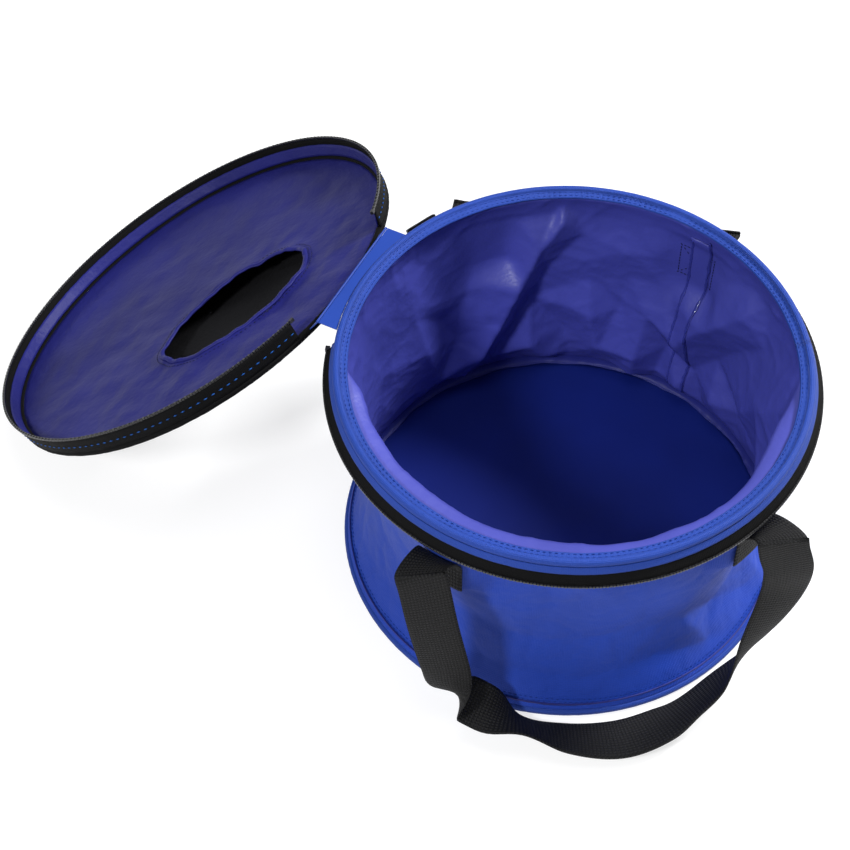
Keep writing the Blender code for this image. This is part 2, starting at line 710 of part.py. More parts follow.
def build_slider():
    """A slider round both rows of teeth, with the bridge that holds its pull."""
    half_turn = SLIDER_LENGTH / 2 / TEETH_RING
    turn = HINGE_TURN - ZIP_GAP_HALF - half_turn
    channel_out = TEETH_RING + TOOTH_HALF + SLIDER_PLAY
    channel_in = TEETH_RING - TOOTH_HALF - SLIDER_PLAY
    channel_bottom = LOWER_TEETH_HEIGHT - TOOTH_HALF - SLIDER_PLAY
    bottom = channel_bottom - SLIDER_WALL
    outer_top = UPPER_TEETH_HEIGHT + SLIDER_TOP_RISE
    lip_top = LOWER_TEETH_HEIGHT + TOOTH_HALF + 2 * SLIDER_WALL
    lip_in = channel_in - 2 * SLIDER_WALL
    plate = channel_out + SLIDER_WALL
    outline = [
        (plate, outer_top),
        (plate, bottom),
        (channel_in - SLIDER_WALL, bottom),
        (lip_in - SLIDER_WALL, lip_top),
        (lip_in, lip_top),
        (channel_in - SLIDER_PLAY, LOWER_TEETH_HEIGHT),
        (channel_in - SLIDER_PLAY, channel_bottom),
        (channel_out, channel_bottom),
        (channel_out, outer_top),
    ]
    slider = arc_from_profile(
        "zip_slider", outline, turn - half_turn, turn + half_turn, SLIDER_STEPS, "slider_metal"
    )
    outward = polar(1, turn)
    along = polar(1, turn - pi / 2)
    middle = Vector((0, 0, (bottom + outer_top) / 2))
    overlap = SLIDER_WALL / 2
    leg_reach = overlap + BRIDGE_GAP + SLIDER_WALL
    leg_spread = (BRIDGE_LENGTH - SLIDER_WALL) / 2
    size = (leg_reach, SLIDER_WALL, BRIDGE_WIDTH)
    for side, end in (("near", -1), ("far", 1)):
        centre = outward * (plate - overlap + leg_reach / 2) + along * (end * leg_spread) + middle
        union(slider, box_object("bridge_leg_" + side, size, centre, turn, "slider_metal"))
    size = (SLIDER_WALL, BRIDGE_LENGTH - overlap, BRIDGE_WIDTH - SEAT_GAP)
    centre = outward * (plate + BRIDGE_GAP + SLIDER_WALL / 2) + middle
    union(slider, box_object("bridge_bar", size, centre, turn, "slider_metal"))
    build_pull(outward * (plate + BRIDGE_GAP / 2) + middle, along)


def build_pull(pivot, along):
    """The pull tab: a plate whose eye goes round the slider's bridge. It lies along the zip."""
    eye_half = BRIDGE_WIDTH / 2 + 2 * SEAT_GAP
    bar_half = PULL_THICKNESS / 2
    side = [(-bar_half, -PULL_WIDTH / 2)]
    side += [(PULL_LENGTH * far, -PULL_WIDTH * half) for far, half in PULL_TIP_SHARES]
    outer = side + [(x, -y) for x, y in reversed(side)]
    eye = [
        (bar_half, -eye_half),
        (PULL_EYE_LENGTH, -eye_half),
        (PULL_EYE_LENGTH, eye_half),
        (bar_half, eye_half),
    ]
    pull = flat_curve("zip_pull", (outer, eye), PULL_THICKNESS, "slider_metal")
    up = Vector((0, 0, 1))
    axes = Matrix((along, up, along.cross(up))).transposed().to_4x4()
    pull.matrix_world = Matrix.Translation(pivot) @ axes


clear_scene()
PARTS = bpy.data.collections.new("collapsible_camp_bucket")
HELPERS = bpy.data.collections.new("helpers")
bpy.context.scene.collection.children.link(PARTS)
bpy.context.scene.collection.children.link(HELPERS)
MATERIALS = make_finishes()
build_base()
build_wall()
build_rim()
build_lid()
build_strap("handle_front", FRONT_MIDDLE, FRONT_HALF_SPAN)
build_strap("handle_rear", REAR_MIDDLE, REAR_HALF_SPAN)
build_slider()
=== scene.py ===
"""Looks of the collapsible camp bucket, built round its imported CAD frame.

Row frame, in metres: the origin is on the ground at the centre of the base, +Z is up and the front
handle is centred on -Y. Photo directions are 12 degrees further round than the row frame's.
"""

from functools import cache
from math import atan2, cos, pi, radians, sin, sqrt

import bpy
import numpy as np
from mathutils import Matrix, Vector, noise
from mathutils.geometry import delaunay_2d_cdt


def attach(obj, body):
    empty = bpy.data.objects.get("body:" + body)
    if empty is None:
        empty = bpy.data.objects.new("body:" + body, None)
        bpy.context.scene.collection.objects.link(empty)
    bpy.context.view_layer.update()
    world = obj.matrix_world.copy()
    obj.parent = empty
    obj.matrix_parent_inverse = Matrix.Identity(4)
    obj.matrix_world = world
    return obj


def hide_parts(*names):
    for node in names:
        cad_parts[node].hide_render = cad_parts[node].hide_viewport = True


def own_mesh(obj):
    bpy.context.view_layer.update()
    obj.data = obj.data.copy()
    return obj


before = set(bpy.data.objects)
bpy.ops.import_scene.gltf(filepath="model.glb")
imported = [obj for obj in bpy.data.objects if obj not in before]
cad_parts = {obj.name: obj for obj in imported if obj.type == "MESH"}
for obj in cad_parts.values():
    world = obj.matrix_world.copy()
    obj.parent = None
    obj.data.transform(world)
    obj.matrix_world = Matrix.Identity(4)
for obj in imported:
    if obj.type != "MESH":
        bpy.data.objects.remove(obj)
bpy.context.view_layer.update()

# Sizes shared with the frame
RIM_HEIGHT = 0.200
HOOP_RADIUS = 0.1621
BEAD = 0.0029
WALL_BOTTOM, WALL_TOP = 0.0047, 0.1982
HEM_WIDTH = 0.0078
FLOOR_RADIUS = 0.1590
HINGE_TURN = radians(146)
HINGE_RADIUS, HINGE_HEIGHT = 0.1735, 0.1995
OPEN_ANGLE = radians(213.7)
LID_HEIGHT, LID_HOOP = 0.207, 0.1665
ZIP_GAP = radians(20.5)
TEETH_RING, LOWER_TEETH, UPPER_TEETH = 0.1712, 0.1855, 0.1895
STRAP_WIDTH, STRAP_THICKNESS = 0.034, 0.0016
HANDLE_RADIUS, PIVOT_HEIGHT = 0.186, 0.172
PATCH_RADIUS = 0.1629
TURN = 2 * pi
UP = Vector((0, 0, 1))


# Materials

# Scale of a band texture that repeats once a metre
BAND_SCALE = 0.314
RIB_PITCH, PICK_PITCH = 0.0022, 0.0026
RIB_DEPTH, SPECK_DEPTH, WEAR_DEPTH = 0.0007, 0.0001, 0.00003


class Nodes:
    """Small helper that adds nodes and links to one material."""

    def __init__(self, name, colour, roughness):
        self.material = bpy.data.materials.new(name)
        self.material.use_nodes = True
        self.tree = self.material.node_tree
        self.shader = self.tree.nodes["Principled BSDF"]
        self.finish({"Base Color": (*colour, 1), "Roughness": roughness})

    def put(self, node, inputs):
        """Sets a node's inputs: a socket is linked to, anything else is the value."""
        for key, value in inputs.items():
            if isinstance(value, bpy.types.NodeSocket):
                self.tree.links.new(value, node.inputs[key])
            else:
                node.inputs[key].default_value = value
        return node

    def finish(self, inputs):
        self.put(self.shader, inputs)

    def add(self, kind, **inputs):
        return self.put(self.tree.nodes.new("ShaderNode" + kind), inputs)

    def math(self, operation, a, b):
        node = self.add("Math")
        node.operation = operation
        return self.put(node, {0: a, 1: b}).outputs[0]

    def noise(self, scale, detail=3.0, roughness=0.55):
        place = self.add("TexCoord").outputs["Object"]
        node = self.add("TexNoise", Vector=place, Scale=scale, Detail=detail, Roughness=roughness)
        return node.outputs["Fac"]

    def wave(self, pitch, direction, distortion=0.0):
        """A 0 to 1 wave along one UV axis, with a pitch in metres."""
        place = self.add("TexCoord").outputs["UV"]
        scale = BAND_SCALE / pitch
        node = self.add("TexWave", Vector=place, Scale=scale, Distortion=distortion, Detail=1.0)
        node.bands_direction = direction
        return node.outputs["Fac"]

    def tint(self, factor, *stops):
        """Base colour between two stops of (place, colour)."""
        node = self.add("ValToRGB", Fac=factor)
        for element, (place, colour) in zip(node.color_ramp.elements, stops):
            element.position = place
            element.color = (*colour, 1)
        self.finish({"Base Color": node.outputs["Color"]})

    def rough(self, factor, low, high):
        node = self.put(self.add("MapRange", Value=factor), {"To Min": low, "To Max": high})
        self.finish({"Roughness": node.outputs["Result"]})

    def bump(self, *layers):
        """Bump layers of (height socket, distance in metres), one on the other."""
        under = {}
        for height, distance in layers:
            node = self.put(self.add("Bump", Height=height, Distance=distance), under)
            under = {"Normal": node.outputs["Normal"]}
        self.finish(under)


def shade(colour, share):
    return tuple(c * share for c in colour)


def woven(name, colour, roughness, pitch, depth, patch, fold, gloss, sheen=0.0):
    """Woven cloth: warp and weft bumps from UVs in metres, and slow changes of colour."""
    n = Nodes(name, colour, roughness)
    weave = n.math("MULTIPLY", n.wave(pitch, "X", 0.3), n.wave(pitch, "Y", 0.3))
    slow = n.noise(9.0, 4.0)
    mixed = n.math("ADD", n.math("MULTIPLY", slow, 0.8), n.math("MULTIPLY", weave, 0.2))
    n.tint(mixed, (0.25, shade(colour, 1 - patch)), (0.75, shade(colour, 1 + patch)))
    n.rough(weave, roughness - 0.06, roughness + 0.08)
    n.bump((n.noise(34.0, 4.0, roughness=0.6), fold), (weave, depth))
    n.finish({"Sheen Weight": sheen, "Specular IOR Level": gloss})
    return n.material


def coated(name, colour, roughness, crumple, patch, gloss, scale=22.0):
    """Smooth coated cloth: crumples at two sizes, with a soft gloss."""
    n = Nodes(name, colour, roughness)
    n.tint(n.noise(7.0, 3.0), (0.3, shade(colour, 1 - patch)), (0.7, shade(colour, 1 + patch)))
    n.rough(n.noise(40.0, 3.0), roughness - 0.08, roughness + 0.10)
    n.bump((n.noise(scale, 5.0, roughness=0.62), crumple), (n.noise(180.0, 2.0), crumple / 14))
    n.finish({"Specular IOR Level": gloss})
    return n.material


def webbing(name, colour, roughness, gloss):
    """Coarse webbing: fat ribs that cross in a basket pattern, with painted highlight on the rib tops and
    painted shade between them.
    """
    n = Nodes(name, colour, roughness)
    basket = n.math("MULTIPLY", n.wave(RIB_PITCH, "X"), n.wave(PICK_PITCH, "Y", 0.6))
    speck = n.noise(900.0, 2.0)
    mixed = n.math("ADD", n.math("MULTIPLY", basket, 0.75), n.math("MULTIPLY", speck, 0.25))
    # the basket pattern is the webbing's own weave; its rib tops up to 3.2 times lighter are painted
    # highlight, its grooves at 0.35 are painted shade
    n.tint(mixed, (0.15, shade(colour, 0.35)), (0.85, shade(colour, 3.2)))
    n.rough(basket, roughness - 0.10, roughness + 0.05)
    n.bump((basket, RIB_DEPTH), (speck, SPECK_DEPTH))
    n.finish({"Specular IOR Level": gloss})
    return n.material


def metal(name, colour, roughness):
    n = Nodes(name, colour, roughness)
    wear = n.noise(260.0, 3.0)
    n.tint(wear, (0.35, shade(colour, 0.7)), (0.8, shade(colour, 1.8)))
    n.rough(wear, roughness - 0.1, roughness + 0.15)
    n.bump((wear, WEAR_DEPTH))
    n.finish({"Metallic": 0.85})
    return n.material


# Woven: colour, roughness, pitch, depth, patches, folds, gloss and sheen
OXFORD = woven("blue_oxford_cloth", (0.0058, 0.042, 0.365), 0.70, 0.0013, 0.00022, 0.22, 0.0024, 0.30, 0.03)
BINDING = woven("blue_binding_tape", (0.0065, 0.040, 0.280), 0.64, 0.0011, 0.00025, 0.18, 0.0004, 0.30, 0.03)
ZIP_CLOTH = woven("black_zip_cloth", (0.0028, 0.0028, 0.0032), 0.80, 0.0012, 0.0002, 0.30, 0.0003, 0.10)
COVER = woven("black_cover_cloth", (0.010, 0.010, 0.0115), 0.66, 0.0016, 0.0002, 0.30, 0.0014, 0.18)
# Coated: colour, roughness, crumples, patches, gloss and the crumples' scale
VIOLET = coated("violet_coating", (0.050, 0.058, 0.315), 0.40, 0.0016, 0.16, 0.40)
# painted shade: the hem's cloth is a darker copy of the violet coating, for the shade where the wall's foot
# meets the floor
SHADED_HEM_CLOTH = coated("violet_hem_painted_shade", (0.016, 0.021, 0.160), 0.50, 0.0020, 0.25, 0.25)
LINING = coated("violet_lining", (0.0108, 0.0122, 0.118), 0.52, 0.0022, 0.22, 0.18, 30.0)
FLOOR_BLUE = coated("floor_cloth", (0.0035, 0.0115, 0.135), 0.60, 0.0008, 0.20, 0.14, 12.0)
GLUE = coated("seam_glue", (0.033, 0.040, 0.250), 0.12, 0.0012, 0.30, 0.70, 60.0)
TEETH = coated("zip_teeth", (0.010, 0.010, 0.011), 0.26, 0.0001, 0.25, 0.55, 300.0)
THREAD = coated("blue_thread", (0.006, 0.026, 0.190), 0.65, 0.0001, 0.10, 0.15, 500.0)
LIGHT_THREAD = coated("bright_thread", (0.010, 0.080, 0.330), 0.65, 0.0001, 0.10, 0.15, 500.0)
DARK_THREAD = coated("dark_thread", (0.005, 0.006, 0.020), 0.65, 0.0001, 0.10, 0.15, 500.0)

# black webbing, with painted highlight on its rib tops and painted shade in its grooves
WEBBING = webbing("black_webbing", (0.0052, 0.0052, 0.0058), 0.76, 0.24)
METAL = metal("zip_metal", (0.045, 0.045, 0.050), 0.38)
STEEL = metal("spring_steel", (0.420, 0.420, 0.430), 0.35)


# Mesh helpers


def dress(obj, body, node=None):
    """Gives a piece the frame's node that it stands for and its body."""
    if node:
        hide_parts(node)
    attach(obj, body)


def out_at(turn):
    """Unit vector straight out of the bucket."""
    return Vector((cos(turn), sin(turn), 0))


def level_at(turn):
    """Unit vector round the bucket."""
    return Vector((-sin(turn), cos(turn), 0))


def round_points(radius, turn, height):
    """Points from arrays of radius, turn and height."""
    return np.stack([radius * np.cos(turn), radius * np.sin(turn), height], -1)


def round_section(radius, height, across, up, sides):
    """A closed (radius, height) section for revolve, as an ellipse."""
    turns = [TURN * k / sides for k in range(sides)]
    return [(radius + across * cos(t), height - up * sin(t)) for t in turns]


def mesh_object(name, points, faces, uvs, materials, face_materials=None, smooth=True):
    """A mesh from points, faces and one UV per point (metres), as its own object."""
    mesh = bpy.data.meshes.new(name)
    mesh.from_pydata([tuple(p) for p in points], [], faces)
    layer = mesh.uv_layers.new(name="UVMap")
    index = np.zeros(len(mesh.loops), np.int64)
    mesh.loops.foreach_get("vertex_index", index)
    layer.data.foreach_set("uv", np.asarray(uvs, np.float32)[index].ravel())
    for material in materials:
        mesh.materials.append(material)
    if face_materials is not None:
        mesh.polygons.foreach_set("material_index", np.asarray(face_materials, np.int32))
    if smooth:
        mesh.shade_smooth()
    obj = bpy.data.objects.new(name, mesh)
    bpy.context.scene.collection.objects.link(obj)
    return obj


def grid_faces(columns, rows, closed_across, closed_up=False, start=0, flip=False):
    """Faces of a point grid stored row by row."""
    across = columns if closed_across else columns + 1
    faces = []
    for r in range(rows):
        upper = (r + 1) % rows if closed_up else r + 1
        for c in range(columns):
            right = (c + 1) % across
            quad = (r * across + c, r * across + right, upper * across + right, upper * across + c)
            quad = tuple(start + i for i in quad)
            faces.append(quad[::-1] if flip else quad)
    return faces


def shell(name, outer, inner, uv, closed, materials, slots=(0, 0, 0)):
    """A closed sheet: outer and inner grids of points, joined along their free edges."""
    rows, across = outer.shape[0] - 1, outer.shape[1]
    columns = across if closed else across - 1
    count = across * (rows + 1)
    points = np.concatenate([outer.reshape(-1, 3), inner.reshape(-1, 3)])
    uvs = np.concatenate([uv.reshape(-1, 2), uv.reshape(-1, 2)])
    front = grid_faces(columns, rows, closed)
    back = grid_faces(columns, rows, closed, start=count, flip=True)
    edge = []
    top = rows * across
    for c in range(columns):
        right = (c + 1) % across
        edge.append((right, c, c + count, right + count))
        edge.append((top + c, top + right, top + right + count, top + c + count))
    if not closed:
        for r in range(rows):
            a, b = r * across, (r + 1) * across
            edge.append((a, b, b + count, a + count))
            a, b = a + columns, b + columns
            edge.append((b, a, a + count, b + count))
    kinds = np.repeat(slots, (len(front), len(back), len(edge)))
    made = mesh_object(name, points, front + back + edge, uvs, materials, kinds)
    for polygon in made.data.polygons[-len(edge):]:
        polygon.use_smooth = False
    return made


def sweep(name, rings, closed_path, material):
    """A tube through rings of points. Each ring has the same number of points, in order."""
    rings = np.asarray(rings, float)
    steps, sides = rings.shape[:2]
    faces = grid_faces(sides, steps if closed_path else steps - 1, True, closed_path)
    along = np.concatenate([[0], np.cumsum(np.linalg.norm(np.diff(rings[:, 0], axis=0), axis=1))])
    round_it = np.concatenate([[0], np.cumsum(np.linalg.norm(np.diff(rings[0], axis=0), axis=1))])
    uvs = np.stack(np.meshgrid(round_it, along), -1).reshape(-1, 2)
    points = rings.reshape(-1, 3)
    if not closed_path:
        faces.append(tuple(range(sides))[::-1])
        faces.append(tuple((steps - 1) * sides + i for i in range(sides)))
    return mesh_object(name, points, faces, uvs, [material])


def revolve(name, profile, steps, material, start=0.0, span=TURN, wobble=None, place=None):
    """A ring or arc from a closed (radius, height) profile; wobble(turn, index) moves a point."""
    whole = abs(span - TURN) < 1e-6
    count = steps if whole else steps + 1
    rings = []
    for i in range(count):
        turn = start + span * i / steps
        ring = []
        for k, (r, z) in enumerate(profile):
            dr, dz = wobble(turn, k) if wobble else (0.0, 0.0)
            ring.append(((r + dr) * cos(turn), (r + dr) * sin(turn), z + dz))
        rings.append(ring)
    rings = np.asarray(rings)
    if place is not None:
        rings = moved(rings, place)
    return sweep(name, rings, whole, material)


def moved(points, matrix):
    """Points of any array shape, moved by a 4 x 4 matrix."""
    points = np.asarray(points, float)
    m = np.array(matrix)
    return points @ m[:3, :3].T + m[:3, 3]


def stitches(name, places, length, width, material):
    """Thread stitches: each a stretched bead at a (centre, direction, normal)."""
    points, faces, uvs = [], [], []
    for centre, direction, normal in places:
        d = Vector(direction).normalized()
        n = Vector(normal).normalized()
        s = d.cross(n).normalized()
        c = Vector(centre)
        base = len(points)
        ends = (c - d * length / 2, c + d * length / 2)
        ring = (c + s * width / 2, c + n * width / 2, c - s * width / 2, c - n * width / 2)
        points += [tuple(ends[0]), *(tuple(p) for p in ring), tuple(ends[1])]
        for k in range(4):
            a, b = base + 1 + k, base + 1 + (k + 1) % 4
            faces += [(base, b, a), (base + 5, a, b)]
        uvs += [(0, 0)] * 6
    return mesh_object(name, points, faces, uvs, [material])


def wave_noise(*place):
    """Smooth noise from -1 to 1, the same each run."""
    return noise.noise(Vector(place))


def ring_noise(turn, scale, seed):
    """Noise that closes on itself round a ring."""
    return noise.noise(Vector((cos(turn) * scale, sin(turn) * scale, seed)))


# The slack wall

# Folds seen in the photo: (turn in degrees, height, how far in), joined by flat facets
FOLD_POINTS = (
    # rear left: the bright smooth bulge, then the long edge down to the floor
    (150, 0.150, 0.003), (146, 0.095, 0.007), (150, 0.045, 0.005),
    (132, 0.165, 0.004), (130, 0.120, 0.008), (128, 0.080, 0.014), (132, 0.020, 0.006),
    (121, 0.150, 0.002), (119, 0.090, 0.003), (122, 0.030, 0.010), (117, 0.012, 0.002),
    # the big diagonal from under the rim to the floor
    (84, 0.176, 0.008), (90, 0.152, 0.012), (95, 0.126, 0.017), (101, 0.085, 0.018), (108, 0.045, 0.016),
    (113, 0.018, 0.009),
    (102, 0.166, 0.001), (108, 0.135, 0.002), (112, 0.100, 0.003), (114, 0.062, 0.004),
    (88, 0.118, 0.004), (92, 0.088, 0.003), (98, 0.055, 0.005), (103, 0.022, 0.004),
    # bunched cloth low at the back
    (92, 0.040, 0.013), (87, 0.022, 0.010), (95, 0.018, 0.003), (82, 0.050, 0.004), (79, 0.020, 0.005),
    (74, 0.078, 0.013), (71, 0.040, 0.012), (75, 0.110, 0.005), (68, 0.015, 0.004),
    (78, 0.160, 0.003), (72, 0.140, 0.006), (66, 0.168, 0.002), (64, 0.118, 0.004), (66, 0.085, 0.005),
    # the seam and the triangle right of it
    (59, 0.150, 0.004), (57, 0.090, 0.010), (59, 0.040, 0.015), (60, 0.014, 0.010),
    (51, 0.120, 0.003), (50, 0.060, 0.004), (53, 0.022, 0.004), (44, 0.160, 0.001),
    (40, 0.105, 0.016), (46, 0.078, 0.015), (32, 0.130, 0.015), (24, 0.158, 0.010), (16, 0.180, 0.004),
    (36, 0.160, 0.003), (29, 0.172, 0.002),
    (33, 0.080, 0.004), (26, 0.108, 0.005), (16, 0.140, 0.004), (40, 0.050, 0.005),
    (30, 0.042, 0.014), (44, 0.028, 0.012), (14, 0.080, 0.017), (4, 0.112, 0.017), (-8, 0.148, 0.011),
    (36, 0.016, 0.004), (22, 0.018, 0.004), (20, 0.050, 0.005), (6, 0.040, 0.006), (-2, 0.172, 0.003),
    # right side and front: slack cloth that bulges over the floor
    (-12, 0.110, 0.012), (-14, 0.060, 0.017), (-18, 0.025, 0.009), (-6, 0.020, 0.004),
    (-22, 0.150, 0.006), (-26, 0.100, 0.013), (-32, 0.060, 0.019), (-36, 0.028, 0.011), (-27, 0.018, 0.004),
    (-38, 0.120, 0.007), (-44, 0.085, 0.013), (-50, 0.045, 0.018), (-54, 0.020, 0.007),
    (-60, 0.110, 0.008), (-64, 0.070, 0.014), (-70, 0.034, 0.012), (-74, 0.015, 0.004),
    (-72, 0.150, 0.009), (-82, 0.115, 0.012), (-86, 0.070, 0.016), (-92, 0.030, 0.010),
    (-96, 0.155, 0.009), (-102, 0.110, 0.014), (-106, 0.065, 0.018), (-110, 0.030, 0.011),
    (-118, 0.105, 0.011), (-124, 0.070, 0.017), (-128, 0.035, 0.012), (-120, 0.015, 0.004),
    (-134, 0.110, 0.011), (-140, 0.075, 0.018), (-146, 0.035, 0.012), (-138, 0.014, 0.004),
    (-150, 0.150, 0.011), (-156, 0.105, 0.017), (-160, 0.060, 0.018), (-164, 0.028, 0.010),
    (-170, 0.160, 0.009), (-174, 0.115, 0.015), (-178, 0.070, 0.017), (-176, 0.025, 0.008),
    (172, 0.150, 0.006), (168, 0.095, 0.012), (164, 0.050, 0.013), (166, 0.018, 0.005), (159, 0.125, 0.006),
    (157, 0.075, 0.008),
)
PATCH_TURNS = tuple(radians(a) for a in (-130, -50, 46, 104))
FOLD_COLUMNS, FOLD_ROWS = 720, 130
FOLD_GAIN, DEEPEST_FOLD = 1.34, 0.0225
FOLD_SMOOTHINGS = 2

# Slack under the rim, in degrees: it is deepest from the left round to the front
SLACK_STEP = 6
SLACK_START, SLACK_START_FADE = -205, 30
SLACK_END, SLACK_END_FADE = -4, 24
# Rows of the slack: (below the wall's top, depth, rough part, more at the front, pinch share, turned)
SLACK_ROWS = (
    (0.0050, 0.0040, 0.0008, 0.0175, 0, 0),
    (0.0120, 0.0026, 0.0012, 0.0202, 1, 0),
    (0.0210, 0.0018, 0.0014, 0.0190, -1, 2),
)
TUCK_DROP, TUCK_DEPTH, FRONT_TUCK = 0.0010, 0.0060, 0.0024
SLACK_PINCH = 0.0040

BROAD_CRUMPLE, FINE_CRUMPLE = 0.0009, 0.0005
CRUMPLES_ROUND, CRUMPLES_UP, FINER = 3.2, 26, 2.6

# The wall is drawn in at its foot, and lies flat behind each sewn strap end
FOOT_SHARE = 0.03
PATCH_FOOT_SHARE, PATCH_FADE_SHARE = 0.56, 0.12
PATCH_TOP, PATCH_TOP_FADE = 0.182, 0.007
PATCH_REACH = radians(9)

WALL_HALF = 0.0005
ON_WALL = 0.0007
SEAM_TURN = radians(45)
TAPE_HALF_WIDTH, TAPE_FOOT, TAPE_TOP = 0.0092, 0.020, 0.186
TAPE_BACK, TAPE_EDGE, TAPE_CROWN = 0.0008, 0.0011, 0.0005
GLUE_ASIDE, GLUE_FOOT = 0.0078, 0.024
GLUE_TOPS = ((-1, 0.190), (1, 0.182))
GLUE_BACK, GLUE_EDGE, GLUE_CROWN = 0.0009, 0.0017, 0.0005
BOX_STITCHES, BOX_HALF_WIDTH, BOX_HALF_HEIGHT, BOX_MIDDLE = 11, 0.0145, 0.0150, 0.1545
HEM_STITCHES, HEM_STITCH_HEIGHTS = 260, (0.0105, 0.0125)
# Length and width of one stitch in each row
BOX_STITCH, HEM_STITCH, RIM_STITCH = (0.0030, 0.0009), (0.0028, 0.0007), (0.0027, 0.0008)
HOLE_STITCH, SKIRT_STITCH = (0.0026, 0.0007), (0.0036, 0.0011)


def ease(share):
    """A share from 0 to 1 with soft ends."""
    return share * share * (3 - 2 * share)


def slack_points(turn):
    """Points of the slack's rows, and of the wall's foot, at a turn in degrees."""
    near = (turn + 180) % 360 - 180
    front = min(1.0, (near - SLACK_START) / SLACK_START_FADE, (SLACK_END - near) / SLACK_END_FADE)
    front = ease(max(0.0, front))
    swell = 0.80 + 0.14 * cos(radians(2.6 * (near + 128))) + 0.10 * wave_noise(turn * 0.045, 8.0, 2.0)
    rough = wave_noise(turn * 0.21, 1.0, 0.0)
    pinch = SLACK_PINCH * wave_noise(turn * 0.33, 5.0, 7.0) * front
    made = [(turn, WALL_TOP - TUCK_DROP, TUCK_DEPTH + FRONT_TUCK * front)]
    for drop, depth, rough_part, more, pinched, aside in SLACK_ROWS:
        depth = depth + rough_part * rough + more * front * swell + pinched * pinch
        made.append((turn + aside, WALL_TOP - drop, depth))
    made.append((turn, WALL_BOTTOM, 0.0))
    return made


def fold_points():
    """All points of the fold net, with a lap more on each side so that it closes on itself."""
    made = []
    for turn, height, depth in FOLD_POINTS:
        for lap in (-360, 0, 360):
            made.append((turn + lap, height, min(depth * FOLD_GAIN, DEEPEST_FOLD)))
    for turn in range(-540, 541, SLACK_STEP):
        made += slack_points(turn)
    return made


def fill_facet(grid, corners, depths):
    """Writes one flat facet of the fold net into the grid of depths."""
    (a, b, c), (da, db, dc) = corners, depths
    area = (b.x - a.x) * (c.y - a.y) - (c.x - a.x) * (b.y - a.y)
    if abs(area) < 1e-12:
        return
    step_x = TURN * HOOP_RADIUS / FOLD_COLUMNS
    step_z = (WALL_TOP - WALL_BOTTOM) / FOLD_ROWS
    low_x = max(-FOLD_COLUMNS // 2, int(np.floor(min(a.x, b.x, c.x) / step_x)))
    high_x = min(FOLD_COLUMNS // 2 - 1, int(np.ceil(max(a.x, b.x, c.x) / step_x)))
    low_z = max(0, int(np.floor((min(a.y, b.y, c.y) - WALL_BOTTOM) / step_z)))
    high_z = min(FOLD_ROWS, int(np.ceil((max(a.y, b.y, c.y) - WALL_BOTTOM) / step_z)))
    if high_x < low_x or high_z < low_z:
        return
    x, z = np.meshgrid(np.arange(low_x, high_x + 1), np.arange(low_z, high_z + 1))
    px, pz = x * step_x, z * step_z + WALL_BOTTOM
    wb = ((px - a.x) * (c.y - a.y) - (c.x - a.x) * (pz - a.y)) / area
    wc = ((b.x - a.x) * (pz - a.y) - (px - a.x) * (b.y - a.y)) / area
    inside = (wb >= -1e-9) & (wc >= -1e-9) & (wb + wc <= 1 + 1e-9)
    found = da + wb * (db - da) + wc * (dc - da)
    grid[z[inside], x[inside] % FOLD_COLUMNS] = found[inside]


def fold_map():
    """Depth of the folds on a fine grid: a net of triangles over the unrolled wall."""
    flat = fold_points()
    points = [Vector((radians(t) * HOOP_RADIUS, z)) for t, z, _ in flat]
    verts, _, faces, _, _, _ = delaunay_2d_cdt(points, [], [], 0, 1e-6)
    lookup = {(round(p.x, 6), round(p.y, 6)): d for p, (_, _, d) in zip(points, flat)}
    value = [lookup.get((round(v.x, 6), round(v.y, 6)), 0.0) for v in verts]
    depth = np.zeros((FOLD_ROWS + 1, FOLD_COLUMNS))
    for face in faces:
        fill_facet(depth, [verts[i] for i in face], [value[i] for i in face])
    for _ in range(FOLD_SMOOTHINGS):
        across = (np.roll(depth, 1, 1) + np.roll(depth, -1, 1)) / 2
        upper = np.vstack([depth[1:], depth[-1:]])
        lower = np.vstack([depth[:1], depth[:-1]])
        depth = 0.4 * depth + 0.35 * across + 0.125 * (upper + lower)
    return depth


def crumple(turn, height):
    """Small ridged crumples between the folds."""
    total = np.zeros_like(turn)
    for index in np.ndindex(turn.shape):
        t, z = turn[index], height[index]
        place = Vector((cos(t) * CRUMPLES_ROUND, sin(t) * CRUMPLES_ROUND, z * CRUMPLES_UP))
        broad = 1 - abs(noise.noise(place)) * 2
        fine = 1 - abs(noise.noise(place * FINER + Vector((9, 4, 1)))) * 2
        total[index] = BROAD_CRUMPLE * max(0.0, broad) ** 3 + FINE_CRUMPLE * max(0.0, fine) ** 3
    return total


@cache
def folds():
    """Folds and crumples together on the fine grid, worked out once."""
    turns = np.arange(FOLD_COLUMNS) * TURN / FOLD_COLUMNS
    turn, height = np.meshgrid(turns, np.linspace(WALL_BOTTOM, WALL_TOP, FOLD_ROWS + 1))
    return fold_map() + crumple(turn, height)


